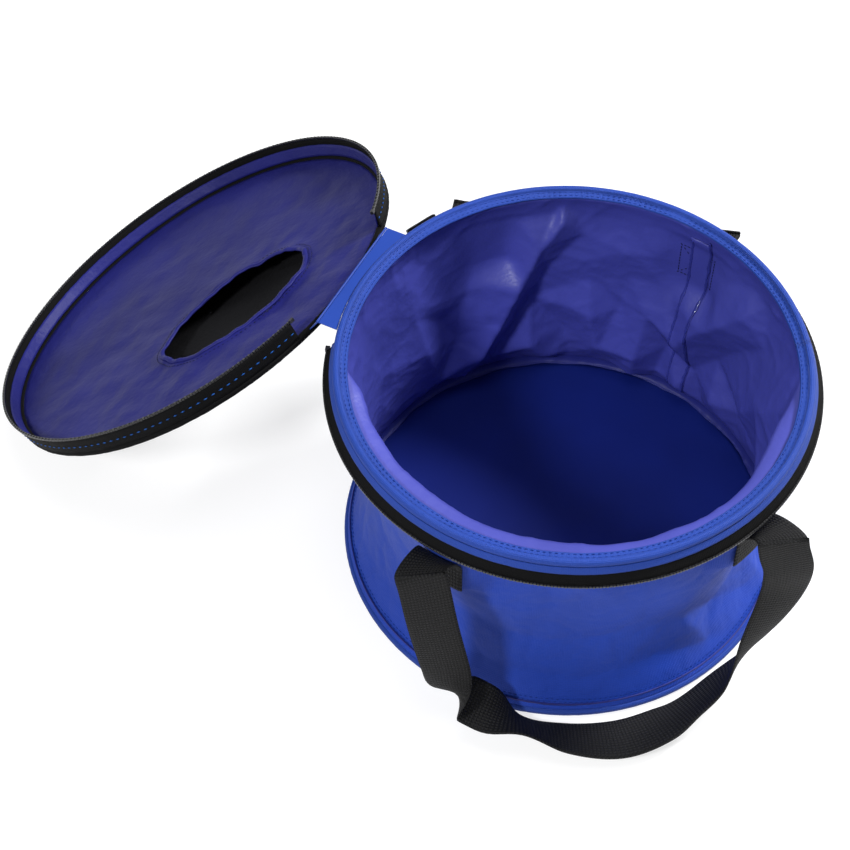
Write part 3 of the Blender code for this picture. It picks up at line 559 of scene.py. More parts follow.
def wall_radius(turn, height):
    """Mid radius of the slack wall at arrays of turn and height."""
    grid = folds()
    share = np.clip((height - WALL_BOTTOM) / (WALL_TOP - WALL_BOTTOM), 0, 1)
    column = (turn % TURN) / TURN * FOLD_COLUMNS
    row = share * FOLD_ROWS
    c0, r0 = np.floor(column).astype(int), np.minimum(np.floor(row).astype(int), FOLD_ROWS - 1)
    fc, fr = column - c0, row - r0
    c0, c1 = c0 % FOLD_COLUMNS, (c0 + 1) % FOLD_COLUMNS
    low = grid[r0, c0] * (1 - fc) + grid[r0, c1] * fc
    high = grid[r0 + 1, c0] * (1 - fc) + grid[r0 + 1, c1] * fc
    depth = low * (1 - fr) + high * fr
    held = np.minimum(1, share / FOOT_SHARE)
    rise = ease(np.clip((share - PATCH_FOOT_SHARE) / PATCH_FADE_SHARE, 0, 1))
    rise = rise * np.clip((PATCH_TOP - height) / PATCH_TOP_FADE, 0, 1)
    slack = np.ones_like(turn)
    for middle in PATCH_TURNS:
        away = (turn - middle + pi) % TURN - pi
        slack *= 1 - rise * np.exp(-((away / PATCH_REACH) ** 4))
    return HOOP_RADIUS - held * slack * depth


def wall_surface(turns, heights, offset):
    """Points on the wall, pushed out from its middle by offset."""
    turn, height = np.meshgrid(turns, heights)
    return round_points(wall_radius(turn, height) + offset, turn, height), turn, height


def wall_uv(turn, height):
    return np.stack([turn * HOOP_RADIUS, height], -1)


def on_wall(turn, height, offset):
    """One point on the wall, pushed out from its middle by offset."""
    radius = float(wall_radius(np.array([turn]), np.array([height]))[0]) + offset
    return out_at(turn) * radius + UP * height


def with_wall(obj, node=None):
    """A piece on the wall: it rides on the rim, with its own copy of its mesh."""
    dress(obj, "rim", node)
    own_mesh(obj)
    return obj


def build_wall_shell():
    columns, rows = 480, 96
    turns = np.arange(columns) * TURN / columns
    heights = np.linspace(WALL_BOTTOM, WALL_TOP, rows + 1)
    outer, turn, height = wall_surface(turns, heights, WALL_HALF)
    inner, _, _ = wall_surface(turns, heights, -WALL_HALF)
    wall = shell("wall_shell", outer, inner, wall_uv(turn, height), True, [OXFORD, VIOLET], (0, 1, 0))
    return with_wall(wall, "wall_cloth")


def build_seam_tape():
    """The tape over the wall's seam, a little thicker in its middle."""
    columns, rows = 12, 66
    half = TAPE_HALF_WIDTH / HOOP_RADIUS
    turns = np.linspace(SEAM_TURN - half, SEAM_TURN + half, columns + 1)
    heights = np.linspace(TAPE_FOOT, TAPE_TOP, rows + 1)
    edge = np.abs(np.linspace(-1, 1, columns + 1)) ** 6
    middle, turn, height = wall_surface(turns, heights, 0.0)
    radial = np.stack([np.cos(turn), np.sin(turn), np.zeros_like(turn)], -1)
    back = middle - radial * TAPE_BACK
    front = middle - radial * (TAPE_EDGE + TAPE_CROWN * (1 - edge)[None, :, None])
    tape = shell("seam_tape_strip", back, front, wall_uv(turn, height), False, [VIOLET])
    return with_wall(tape, "seam_tape")


def build_glue_line(side, top):
    """A bead of glue that wanders along one edge of the seam tape."""
    columns, rows = 4, 119
    shares = np.linspace(-1, 1, columns + 1)
    heights = np.linspace(GLUE_FOOT, top, rows + 1)
    lines = []
    for height in heights:
        drift = 0.0012 * wave_noise(height * 60, side, 3.0) + 0.0005 * wave_noise(height * 260, side, 4.0)
        middle = SEAM_TURN + (side * GLUE_ASIDE + drift) / HOOP_RADIUS
        spread = 0.0008 + 0.0012 * max(0.0, wave_noise(height * 110, side, 6.0) + 0.1)
        lines.append(middle + shares * spread / HOOP_RADIUS)
    turn = np.array(lines)
    height = np.repeat(heights[:, None], columns + 1, 1)
    radius = wall_radius(turn, height)
    crown = GLUE_EDGE + GLUE_CROWN * (1 - shares**2)[None, :]
    back = round_points(radius - GLUE_BACK, turn, height)
    front = round_points(radius - crown, turn, height)
    glue = shell("seam_glue_line", back, front, wall_uv(turn, height), False, [GLUE])
    return with_wall(glue)


def stitch_box(middle):
    """Places of the crossed box of stitches where a strap's end is sewn through the wall."""
    places = []
    for k in range(BOX_STITCHES):
        share = k / (BOX_STITCHES - 1) * 2 - 1
        for dt, dz in ((share, 1), (share, -1), (1, share), (-1, share), (share, share), (share, -share)):
            turn = middle + dt * BOX_HALF_WIDTH / HOOP_RADIUS
            height = BOX_MIDDLE + dz * BOX_HALF_HEIGHT
            direction = UP
            if abs(dz) == 1 and abs(dt) != 1:
                direction = level_at(turn)
            elif dt == dz:
                direction = level_at(turn) + UP
            elif dt == -dz:
                direction = level_at(turn) - UP
            places.append((on_wall(turn, height, -ON_WALL), direction, out_at(turn)))
    return places


def build_wall():
    wall = build_wall_shell()
    pieces = [build_seam_tape()]
    for side, top in GLUE_TOPS:
        pieces.append(build_glue_line(side, top))
    # the photo shows no stitches at the fourth strap end
    places = [place for middle in PATCH_TURNS[:3] for place in stitch_box(middle)]
    marks = stitches("strap_stitches_inside", places, *BOX_STITCH, DARK_THREAD)
    pieces.append(with_wall(marks))


def build_hem_stitches():
    """Two rows of stitches above the base binding, outside."""
    places = []
    for row, height in enumerate(HEM_STITCH_HEIGHTS):
        for i in range(HEM_STITCHES):
            turn = TURN * (i + row / 2) / HEM_STITCHES
            places.append((on_wall(turn, height, ON_WALL), level_at(turn), out_at(turn)))
    hem = stitches("base_hem_stitches", places, *HEM_STITCH, THREAD)
    dress(hem, "base")


# Rim and base rings

HEM_TIP = HOOP_RADIUS - HEM_WIDTH
RING_STEPS = 300
RIM_STITCHES = 250
# Rows of stitches on the rim's hem: (name, distance from the hem's tip, height above the rim)
RIM_ROWS = (("rim_stitches_inner", 0.0017, 0.00025), ("rim_stitches_outer", 0.0046, 0.00065))
# The binding goes round the hoop between these two directions, from its inner side over the top
ROUND_START, ROUND_END, ROUND_STEPS = radians(128), radians(-84), 10
HEM_POINTS = range(13, 19)
FLOOR_CELLS = 60
FLOOR_UNDERSIDE, FLOOR_EDGE, FLOOR_RISE, FLOOR_SLOPE = 0.0001, 0.0011, 0.0009, 0.03
COVE_RADIUS, COVE_FOOT, COVE_RISE, COVE_THICKNESS = 0.1608, 0.0024, 0.0085, 0.0007


def build_rim():
    """The rim's binding: round over the hoop, with a flat hem inside."""
    section = []
    for k in range(ROUND_STEPS + 1):
        a = ROUND_START - (ROUND_START - ROUND_END) * k / ROUND_STEPS
        section.append((HOOP_RADIUS + BEAD * cos(a), RIM_HEIGHT + BEAD * sin(a)))
    section += [
        (HOOP_RADIUS + 0.0007, RIM_HEIGHT - 0.0026),
        (HOOP_RADIUS - 0.0022, RIM_HEIGHT - 0.0021),
        (HEM_TIP + 0.0010, RIM_HEIGHT - 0.0021),
        (HEM_TIP, RIM_HEIGHT - 0.0013),
        (HEM_TIP + 0.0002, RIM_HEIGHT - 0.0004),
        (HEM_TIP + 0.0014, RIM_HEIGHT + 0.0001),
        (HEM_TIP + 0.0034, RIM_HEIGHT - 0.0002),
        (HOOP_RADIUS - 0.0026, RIM_HEIGHT + 0.0010),
    ]

    def pucker(turn, k):
        loose = 1.0 if k in HEM_POINTS else 0.25
        dz = 0.00035 * loose * ring_noise(turn, 9, 1.0) + 0.00010 * ring_noise(turn, 60, 2.0)
        return 0.00030 * loose * ring_noise(turn, 12, 3.0), dz

    rim = revolve("rim_tape", section, RING_STEPS, BINDING, wobble=pucker)
    dress(rim, "rim", "rim_binding")


def build_rim_stitches(name, from_tip, lift):
    """A row of stitches round the rim's hem."""
    places = []
    for i in range(RIM_STITCHES):
        turn = TURN * i / RIM_STITCHES
        places.append((out_at(turn) * (HEM_TIP + from_tip) + UP * (RIM_HEIGHT + lift), level_at(turn), UP))
    row = stitches(name, places, *RIM_STITCH, THREAD)
    dress(row, "rim")


def build_base_piping():
    section = round_section(HOOP_RADIUS, BEAD, BEAD, BEAD - 0.00002, 14)

    def gather(turn, k):
        return 0.00018 * ring_noise(turn, 40, 5.0 + k), 0.0

    base = revolve("base_piping", section, RING_STEPS, BINDING, wobble=gather)
    dress(base, "base", "base_binding")


def build_floor():
    """The floor: a square grid drawn into a disc, so that no point gathers the cells."""
    across = np.linspace(-1, 1, FLOOR_CELLS + 1)
    u, v = np.meshgrid(across, across)
    x = FLOOR_RADIUS * u * np.sqrt(1 - v * v / 2)
    y = FLOOR_RADIUS * v * np.sqrt(1 - u * u / 2)
    top = np.zeros_like(x)
    for index in np.ndindex(x.shape):
        px, py = x[index], y[index]
        inward = min(1.0, max(0.0, FLOOR_RADIUS - sqrt(px * px + py * py)) / FLOOR_SLOPE)
        top[index] = FLOOR_EDGE + inward * FLOOR_RISE * (1 + wave_noise(px * 14, py * 14, 4.0))
    upper = np.stack([x, y, top], -1)
    lower = np.stack([x, y, np.full_like(x, FLOOR_UNDERSIDE)], -1)
    uv = np.stack([x, y], -1)
    floor = shell("floor_sheet", lower, upper, uv, False, [FLOOR_BLUE])
    dress(floor, "base", "floor_panel")


def build_cove():
    """The wall's lower hem, coved over the piping and bunched on the floor's edge, in the violet coating
    darkened as painted shade for the corner where wall meets floor.
    """
    columns, rows = 420, 9
    outer, inner = np.zeros((rows + 1, columns, 3)), np.zeros((rows + 1, columns, 3))
    uv = np.zeros((rows + 1, columns, 2))
    for c in range(columns):
        turn = c * TURN / columns
        bunch = 0.0030 * max(0.0, 0.4 + ring_noise(turn, 5.0, 14.0))
        reach = 0.0035 + bunch + 0.0005 * ring_noise(turn, 30, 15.0)
        for r in range(rows + 1):
            bend = pi / 2 * r / rows
            lift = 0.0005 * ring_noise(turn, 24, 16.0 + r * 0.12) * sin(bend)
            radius = COVE_RADIUS - reach * (1 - cos(bend)) - lift
            height = COVE_FOOT + COVE_RISE * (1 - sin(bend)) + lift
            outer[r, c] = (radius * cos(turn), radius * sin(turn), height)
            radius, height = radius - COVE_THICKNESS * cos(bend), height + COVE_THICKNESS * sin(bend)
            inner[r, c] = (radius * cos(turn), radius * sin(turn), height)
            uv[r, c] = (turn * HOOP_RADIUS, r * 0.0012)
    # the cove's darker violet is painted shade in the corner between wall and floor
    cove = shell("base_cove", outer, inner, uv, True, [SHADED_HEM_CLOTH])
    dress(cove, "base")


# Zip

ZIP_START, ZIP_SPAN = -pi + ZIP_GAP, TURN - 2 * ZIP_GAP
ZIP_STEPS, FLAP_STEPS = 260, 300
BAND_HALF, FLAP_HALF, BAND_PARTS = 0.0005, 0.0003, 5
TOOTH_COUNT, TOOTH_SHARE, TOOTH_LEAN, CORE_RADIUS = 430, 0.38, 0.0001, 0.00085
# One tooth's section, about the middle of its row
TOOTH_SCALE = 0.95
TOOTH_SECTION = (
    (0.0010, 0.0006), (0.0006, 0.0010), (-0.0006, 0.0010), (-0.0010, 0.0006),
    (-0.0010, -0.0008), (0.0010, -0.0008),
)
# What lies along each band: its name, its section's top and bottom edge, its cloth and slot
ZIP_FLAPS = {
    "rim": ("rim_tape_flap", (0.1643, 0.1979), (0.1672, 0.1936), BINDING, "blue_oxford"),
    "lid": ("skirt_lining", (0.1662, 0.2040), (0.1694, 0.1952), LINING, "violet_coating"),
}


def tape_section(top, bottom, half):
    """The section of a tape that stands between two (radius, height) edges."""
    along = Vector((bottom[0] - top[0], bottom[1] - top[1])).normalized()
    out = Vector((-along.y, along.x)) * half
    line = [i / BAND_PARTS for i in range(BAND_PARTS + 1)]
    points = []
    for side, shares in ((1, line), (-1, line[::-1])):
        for share in shares:
            r = top[0] + (bottom[0] - top[0]) * share + out.x * side
            z = top[1] + (bottom[1] - top[1]) * share + out.y * side
            points.append((r, z))
    return points


def build_zip_band(row, body, top, bottom, place, seed):
    """One half's cloth band, and the flap or lining along it."""

    def ripple(turn, k):
        return 0.00028 * ring_noise(turn, 22, seed), 0.0002 * ring_noise(turn, 14, seed + 3)

    def fringe(turn, k):
        at_bottom = BAND_PARTS - 1 <= k <= BAND_PARTS + 2
        return 0.0, 0.00035 * ring_noise(turn, 80, 33.0) if at_bottom else 0.0

    section = tape_section(top, bottom, BAND_HALF)
    tape = revolve("zip_band_" + row, section, ZIP_STEPS, ZIP_CLOTH, ZIP_START, ZIP_SPAN, ripple, place)
    dress(tape, body, "zip_tape_" + row)
    name, flap_top, flap_bottom, cloth, slot = ZIP_FLAPS[body]
    section = tape_section(flap_top, flap_bottom, FLAP_HALF)
    flap = revolve(name, section, FLAP_STEPS, cloth, ZIP_START, ZIP_SPAN, fringe, place)
    dress(flap, body)


def build_zip_teeth(row, body, height, place):
    """A row of separate teeth on a thin core."""
    points, faces, uvs = [], [], []
    n = len(TOOTH_SECTION)
    for i in range(TOOTH_COUNT):
        turn = ZIP_START + ZIP_SPAN * (i + 0.5) / TOOTH_COUNT
        half = ZIP_SPAN / TOOTH_COUNT * TOOTH_SHARE
        lean = TOOTH_LEAN if i % 2 else -TOOTH_LEAN
        base = len(points)
        for side in (-1, 1):
            for dr, dz in TOOTH_SECTION:
                a = turn + side * half
                r = TEETH_RING + dr * TOOTH_SCALE
                points.append((r * cos(a), r * sin(a), height + dz * TOOTH_SCALE + lean))
                uvs.append((a * r, dz))
        faces += [tuple(base + k for k in range(n))[::-1], tuple(base + n + k for k in range(n))]
        faces += [(base + k, base + (k + 1) % n, base + n + (k + 1) % n, base + n + k) for k in range(n)]
    points = moved(points, place)
    teeth = mesh_object("zip_coil_" + row, points, faces, uvs, [TEETH], smooth=False)
    cord = round_section(TEETH_RING, height, CORE_RADIUS, CORE_RADIUS, 8)
    core = revolve("zip_core_" + row, cord, ZIP_STEPS, ZIP_CLOTH, ZIP_START, ZIP_SPAN, place=place)
    dress(teeth, body, "zip_teeth_" + row)
    dress(core, body)


# Straps

STRAP_STATIONS = (
    (-1.000, 1.000, 1.000, 0, 0),
    (-0.975, 1.004, 0.930, 0, 0),
    (-0.915, 1.014, 0.700, -4, 0),
    (-0.850, 1.008, 0.420, -10, 0),
    (-0.810, 1.010, 0.280, -30, 2),
    (-0.675, 0.995, 0.200, -100, -34),
    (-0.425, 1.000, 0.128, -102, 40),
    (-0.175, 1.010, 0.066, -95, 25),
    (0.100, 1.022, 0.046, -86, 12),
    (0.350, 1.010, 0.052, -78, 18),
    (0.550, 0.995, 0.084, -75, 36),
    (0.775, 0.990, 0.175, -115, 15),
    (0.950, 1.000, 0.350, -150, 0),
    (1.0625, 1.020, 0.580, -172, 0),
    (1.050, 1.030, 0.785, -180, 0),
    (1.0125, 1.010, 0.930, -180, 0),
    (1.000, 1.000, 1.000, -180, 0),
)


STRAP_COLUMNS, STRAP_PARTS, STRAP_CUP = 14, 9, 0.0009
# Straps: (end, middle direction, half the span between the sewn ends, sides from less to more turn)
STRAPS = (
    ("front", radians(-90), radians(40), ("left", "right")),
    ("rear", radians(75), radians(29), ("right", "left")),
)
PATCH_FOOT, PATCH_STRAIGHT = 0.1376, 0.0250
PATCH_STRAIGHT_ROWS, PATCH_ROWS, PATCH_ROW_PITCH = 10, 34, 0.0016
PATCH_GAP, PATCH_DROP = 0.0011, 0.0004
PATCH_RISE, PATCH_OVER_BACK, PATCH_OVER_UP = 0.0100, 0.0060, 0.0024
ROLL_HALF, ROLL_OUT, ROLL_RADIUS = 0.0164, 0.0009, 0.0012
ROLL_STEPS, ROLL_SIDES = 12, 8


def smooth_rows(rows, between):
    """Rows on a smooth curve through the given ones."""
    made = []
    for i in range(len(rows) - 1):
        before = rows[max(i - 1, 0)]
        start, end = rows[i], rows[i + 1]
        after = rows[min(i + 2, len(rows) - 1)]
        for step in range(between):
            t = step / between
            bend = (2 * before - 5 * start + 4 * end - after) * t**2
            turn = (3 * start - before - 3 * end + after) * t**3
            made.append((2 * start + (end - before) * t + bend + turn) / 2)
    made.append(rows[-1])
    return made


def selvedge_share(s):
    """Share of the strap's thickness at -1 to 1 across it: thick selvedges with thin edges."""
    if abs(s) < 0.86:
        return 1.0
    return 1.12 if abs(s) < 0.99 else 0.55


def strap_rows(half_span):
    """Places and width directions along a strap, drawn with its middle on -Y."""
    rows = []
    for span_share, radius_share, height_share, width_turn, width_rise in STRAP_STATIONS:
        turn = -pi / 2 + half_span * span_share
        r = HANDLE_RADIUS * radius_share
        rise, azimuth = radians(width_rise), radians(width_turn)
        at = (r * cos(turn), r * sin(turn), PIVOT_HEIGHT * height_share)
        width = (cos(rise) * cos(azimuth), cos(rise) * sin(azimuth), sin(rise))
        rows.append(Vector((*at, *width)))
    return smooth_rows(rows, STRAP_PARTS)


def build_strap(end, middle, half_span):
    """Webbing with thick selvedges, along the same stations as the frame's strap."""
    rows = strap_rows(half_span)
    count = len(rows)
    centres = [Vector(row[:3]) for row in rows]
    place = Matrix.Rotation(middle + pi / 2, 4, "Z")
    shares = [-1 + 2 * c / STRAP_COLUMNS for c in range(STRAP_COLUMNS + 1)]
    outer, inner, uv = [], [], []
    length = 0.0
    for i, row in enumerate(rows):
        along = (centres[min(i + 1, count - 1)] - centres[max(i - 1, 0)]).normalized()
        across = Vector(row[3:])
        if 0 < i < count - 1:
            across = across - along * across.dot(along)
        across.normalize()
        normal = along.cross(across).normalized()
        if i:
            length += (centres[i] - centres[i - 1]).length
        for s in shares:
            cup = STRAP_CUP * (1 - s * s) * sin(length * 21)
            half = STRAP_THICKNESS / 2 * selvedge_share(s)
            at = centres[i] + across * (s * STRAP_WIDTH / 2) + normal * cup
            outer.append(tuple(place @ (at + normal * half)))
            inner.append(tuple(place @ (at - normal * half)))
            uv.append((s * STRAP_WIDTH / 2, length))
    name = end + "_strap"
    outer, inner = (np.reshape(points, (count, len(shares), 3)) for points in (outer, inner))
    strap = shell(name, outer, inner, np.array(uv), False, [WEBBING])
    dress(strap, "handle_" + end, "handle_" + end)


def bezier(a, b, c, d, t):
    return a * (1 - t) ** 3 + b * 3 * t * (1 - t) ** 2 + c * 3 * t * t * (1 - t) + d * t**3


def patch_line(turn, edge, outward, r):
    """A point of a sewn end's face: up the wall, then over to the strap's first edge."""
    wall = out_at(turn) * PATCH_RADIUS
    if r <= PATCH_STRAIGHT_ROWS:
        return wall + UP * (PATCH_FOOT + PATCH_STRAIGHT * r / PATCH_STRAIGHT_ROWS)
    start = wall + UP * (PATCH_FOOT + PATCH_STRAIGHT)
    end = edge + UP * (PIVOT_HEIGHT - PATCH_DROP)
    over = end - outward * PATCH_OVER_BACK + UP * PATCH_OVER_UP
    share = (r - PATCH_STRAIGHT_ROWS) / (PATCH_ROWS - PATCH_STRAIGHT_ROWS)
    return bezier(start, start + UP * PATCH_RISE, over, end, share)


def build_patch(end, side, middle, offset):
    """A strap's sewn end: webbing up the wall that rounds over to the strap's first edge."""
    centre = middle + offset
    outward, chord = out_at(middle), level_at(middle)
    pivot = out_at(centre) * HANDLE_RADIUS - outward * PATCH_GAP
    half_turn = STRAP_WIDTH / 2 / PATCH_RADIUS
    columns, rows = STRAP_COLUMNS, PATCH_ROWS
    line = np.zeros((rows + 1, columns + 1, 3))
    uv = np.zeros((rows + 1, columns + 1, 2))
    for c in range(columns + 1):
        u = c / columns
        edge = pivot + chord * STRAP_WIDTH * (u - 0.5)
        for r in range(rows + 1):
            line[r, c] = patch_line(centre + half_turn * (2 * u - 1), edge, outward, r)
            uv[r, c] = ((u - 0.5) * STRAP_WIDTH, r * PATCH_ROW_PITCH)
    normal = np.cross(np.gradient(line, axis=1), np.gradient(line, axis=0))
    normal /= np.linalg.norm(normal, axis=-1, keepdims=True)
    thick = np.ones(columns + 1)
    thick[[0, -1]], thick[[1, -2]] = 0.6, 1.1
    half = normal * STRAP_THICKNESS / 2 * thick[None, :, None]
    mid = line + normal * STRAP_THICKNESS / 2
    name = end + "_" + side + "_strap_end"
    patch = shell(name, mid + half, mid - half, uv, False, [WEBBING])
    dress(patch, "rim", "handle_patch_" + end + "_" + side)

    # the fold of webbing along the line that the strap turns about
    first, last = (pivot + UP * PIVOT_HEIGHT + chord * way * ROLL_HALF for way in (-1, 1))
    rings = []
    for i in range(ROLL_STEPS + 1):
        at = first.lerp(last, i / ROLL_STEPS) + outward * ROLL_OUT
        turns = [TURN * k / ROLL_SIDES for k in range(ROLL_SIDES)]
        rings.append([tuple(at + (outward * cos(t) + UP * sin(t)) * ROLL_RADIUS) for t in turns])
    roll = sweep(name + "_turn", rings, False, WEBBING)
    dress(roll, "rim")


# Lid, drawn shut with its hinge on -X and then opened

LID_PLACE = (
    Matrix.Translation((HINGE_RADIUS * cos(HINGE_TURN), HINGE_RADIUS * sin(HINGE_TURN), HINGE_HEIGHT))
    @ Matrix.Rotation(HINGE_TURN - pi, 4, "Z")
    @ Matrix.Rotation(-OPEN_ANGLE, 4, "Y")
    @ Matrix.Translation((HINGE_RADIUS, 0, -HINGE_HEIGHT))
)
LID_AXES = LID_PLACE.to_3x3()
RIM_PLACE = Matrix.Rotation(HINGE_TURN - pi, 4, "Z")
# Halves of the zip: (row, body, its band's top and bottom edge, height of the teeth, place, noise seed)
ZIP_HALVES = (
    ("lower", "rim", (0.1634, 0.1972), (0.1707, 0.1863), LOWER_TEETH, RIM_PLACE, 80.0),
    ("upper", "lid", (0.1684, 0.2053), (0.1712, 0.1902), UPPER_TEETH, LID_PLACE, 90.0),
)
HOLE_STEPS, HOLE_SIDES = 192, 10
HOLE_HALF_WIDTH, HOLE_HALF_LENGTH, HOLE_SKEW = 0.038, 0.064, radians(30)
HOLE_MIDDLE = Vector((-0.058, -0.017))
ROLLED_HALF_WIDTH, ROLLED_HALF_HEIGHT, ROLLED_OUT = 0.0022, 0.0012, 0.0016
LINING_RADIUS, LINING_DROP, SHEET_THICKNESS = 0.1648, 0.0006, 0.0008
HOLE_STITCHES, HOLE_STITCH_OUT = 110, 0.0068
SKIRT_STITCHES, SKIRT_STITCH_RADIUS, SKIRT_STITCH_HEIGHT = 150, 0.1704, 0.1985
COVER_RADIUS, COVER_START, COVER_HEIGHT, COVER_RISE = 0.1652, 0.0010, 0.2099, 0.0125


def hole_edge(a, grow):
    """A point of the hand hole's wavy edge."""
    wavy = 0.0022 * ring_noise(a, 2.2, 7.0) + 0.0012 * ring_noise(a, 5.0, 8.0)
    x = (HOLE_HALF_WIDTH + grow + wavy) * cos(a)
    y = (HOLE_HALF_LENGTH + grow + wavy) * sin(a)
    skewed_x = x * cos(HOLE_SKEW) - y * sin(HOLE_SKEW)
    skewed_y = x * sin(HOLE_SKEW) + y * cos(HOLE_SKEW)
    return skewed_x + HOLE_MIDDLE.x, skewed_y + HOLE_MIDDLE.y


def hem_height(a):
    """How far the hole's rolled edge stands off the lining, on the open lid's upper side."""
    return 0.0026 + 0.0028 * (0.5 + 0.5 * ring_noise(a, 2.6, 11.0)) + 0.0012 * ring_noise(a, 6.0, 12.0)


def lid_sheet(name, upper, uv, cloth):
    """A sheet of the lid from its upper points, moved to the open lid."""
    lower = upper - np.array((0, 0, SHEET_THICKNESS))
    return shell(name, moved(upper, LID_PLACE), moved(lower, LID_PLACE), uv, True, [cloth])


def build_lid_edge():
    section = round_section(LID_HOOP, LID_HEIGHT, BEAD, BEAD, 12)

    def fray(turn, k):
        rough = 0.00030 * ring_noise(turn, 55, 20.0 + k) + 0.00022 * ring_noise(turn, 16, 21.0)
        return rough, 0.00020 * ring_noise(turn, 40, 30.0 + k)

    rim = revolve("lid_edge", section, 340, ZIP_CLOTH, wobble=fray, place=LID_PLACE)
    dress(rim, "lid", "lid_binding")


def lining_end(start):
    """Where the line from the hole's middle through start meets the lining's jagged edge."""
    away = (Vector(start) - HOLE_MIDDLE).normalized()
    along = HOLE_MIDDLE.dot(away)
    room = along * along - HOLE_MIDDLE.length_squared + LINING_RADIUS * LINING_RADIUS
    end = HOLE_MIDDLE + away * (sqrt(room) - along)
    turn = atan2(end.y, end.x)
    jag = 0.0010 * ring_noise(turn, 90, 40.0) + 0.0009 * ring_noise(turn, 26, 41.0)
    return end * (1 + jag / LINING_RADIUS)


def build_lining():
    """The lid's lining: a slack sheet from the hoop to the hand hole, drawn up at the hole."""
    rows = 30
    upper, uv = np.zeros((rows + 1, HOLE_STEPS, 3)), np.zeros((rows + 1, HOLE_STEPS, 2))
    for c in range(HOLE_STEPS):
        a = TURN * c / HOLE_STEPS
        start = hole_edge(a, 0.0)
        end = lining_end(start)
        for r in range(rows + 1):
            s = (r / rows) ** 0.9
            x, y = start[0] + (end.x - start[0]) * s, start[1] + (end.y - start[1]) * s
            inside = min(1.0, (1 - s) * 6)
            near_hole = max(0.0, 1 - s * 5)
            sag = 0.0016 * wave_noise(x * 24, y * 24, 50.0) + 0.0012 * wave_noise(x * 60, y * 60, 51.0)
            pull = 0.8 * near_hole**2 * (hem_height(a) - ROLLED_OUT)
            upper[r, c] = (x, y, LID_HEIGHT - LINING_DROP - inside * (0.0010 + sag) - pull)
            uv[r, c] = (x, y)
    liner = lid_sheet("lid_lining", upper, uv, LINING)
    dress(liner, "lid", "lid_liner")


def build_hole_edge():
    rings = []
    for i in range(HOLE_STEPS):
        a = TURN * i / HOLE_STEPS
        middle = LID_HEIGHT - hem_height(a)
        ring = []
        for k in range(HOLE_SIDES):
            t = TURN * k / HOLE_SIDES
            x, y = hole_edge(a, ROLLED_HALF_WIDTH * cos(t) + ROLLED_OUT)
            rough = 0.00015 * ring_noise(a, 30, 60.0 + k)
            ring.append((x, y, middle - ROLLED_HALF_HEIGHT * sin(t) - rough))
        rings.append(ring)
    hem = sweep("hole_rolled_edge", moved(rings, LID_PLACE), True, LINING)
    dress(hem, "lid", "hole_hem")


def build_hole_stitches():
    places = []
    for i in range(HOLE_STITCHES):
        a, b = TURN * i / HOLE_STITCHES, TURN * (i + 0.4) / HOLE_STITCHES
        x, y = hole_edge(a, HOLE_STITCH_OUT)
        next_x, next_y = hole_edge(b, HOLE_STITCH_OUT)
        z = LID_HEIGHT - 0.0030 - 0.25 * (hem_height(a) - ROLLED_OUT)
        direction = LID_AXES @ Vector((next_x - x, next_y - y, 0))
        places.append((LID_PLACE @ Vector((x, y, z)), direction, LID_AXES @ -UP))
    ring = stitches("hole_stitches", places, *HOLE_STITCH, DARK_THREAD)
    dress(ring, "lid")


def build_skirt_stitches():
    """Bright stitches outside the lid's skirt."""
    places = []
    for i in range(SKIRT_STITCHES):
        turn = ZIP_START + ZIP_SPAN * (i + 0.5) / SKIRT_STITCHES
        at = out_at(turn) * SKIRT_STITCH_RADIUS + UP * SKIRT_STITCH_HEIGHT
        places.append((LID_PLACE @ at, LID_AXES @ level_at(turn), LID_AXES @ out_at(turn)))
    ring = stitches("lid_edge_stitches", places, *SKIRT_STITCH, LIGHT_THREAD)
    dress(ring, "lid")


def build_cover():
    """The black outer cover, seen through the hand hole and from below."""
    columns, rows = 160, 22
    upper, uv = np.zeros((rows + 1, columns, 3)), np.zeros((rows + 1, columns, 2))
    for r in range(rows + 1):
        radius = COVER_START + (COVER_RADIUS - COVER_START) * r / rows
        share = radius / COVER_RADIUS
        for c in range(columns):
            turn = TURN * c / columns
            x, y = radius * cos(turn), radius * sin(turn)
            fold = 0.0014 * min(1.0, (1 - share) * 7) * wave_noise(x * 20, y * 20, 70.0)
            rise = COVER_RISE * (1 - share * share)
            upper[r, c] = (x, y, COVER_HEIGHT + SHEET_THICKNESS + rise + fold)
            uv[r, c] = (x, y)
    cover = lid_sheet("lid_outer_cover", upper, uv, COVER)
    dress(cover, "lid", "lid_cover")


# Camera, light and floor

PHOTO_TURN = radians(-12)
ELEVATION, ROLL = radians(53.9), radians(4.6)
LOOKED_AT, DISTANCE = Vector((0, 0, 0.1)), 1.415
AIM_LEFT, AIM_UP = 0.0725, 0.0120
LENS, SENSOR = 82.4, 36
GROUND_HALF, GROUND_HEIGHT = 6.0, -0.0004
# Lights: (name, place, what they point at, size, power)
LIGHTS = (
    ("key", (1.40, 0.60, 1.60), (0, 0, 0.1), 0.5, 68),
    ("front_key", (-1.10, -0.90, 1.50), (0, 0.05, 0.1), 0.30, 26),
    ("top", (-0.1, -0.2, 2.4), (0, 0, 0.1), 0.7, 9),
)


def add_to_scene(name, data):
    obj = bpy.data.objects.new(name, data)
    bpy.context.scene.collection.objects.link(obj)
    return obj


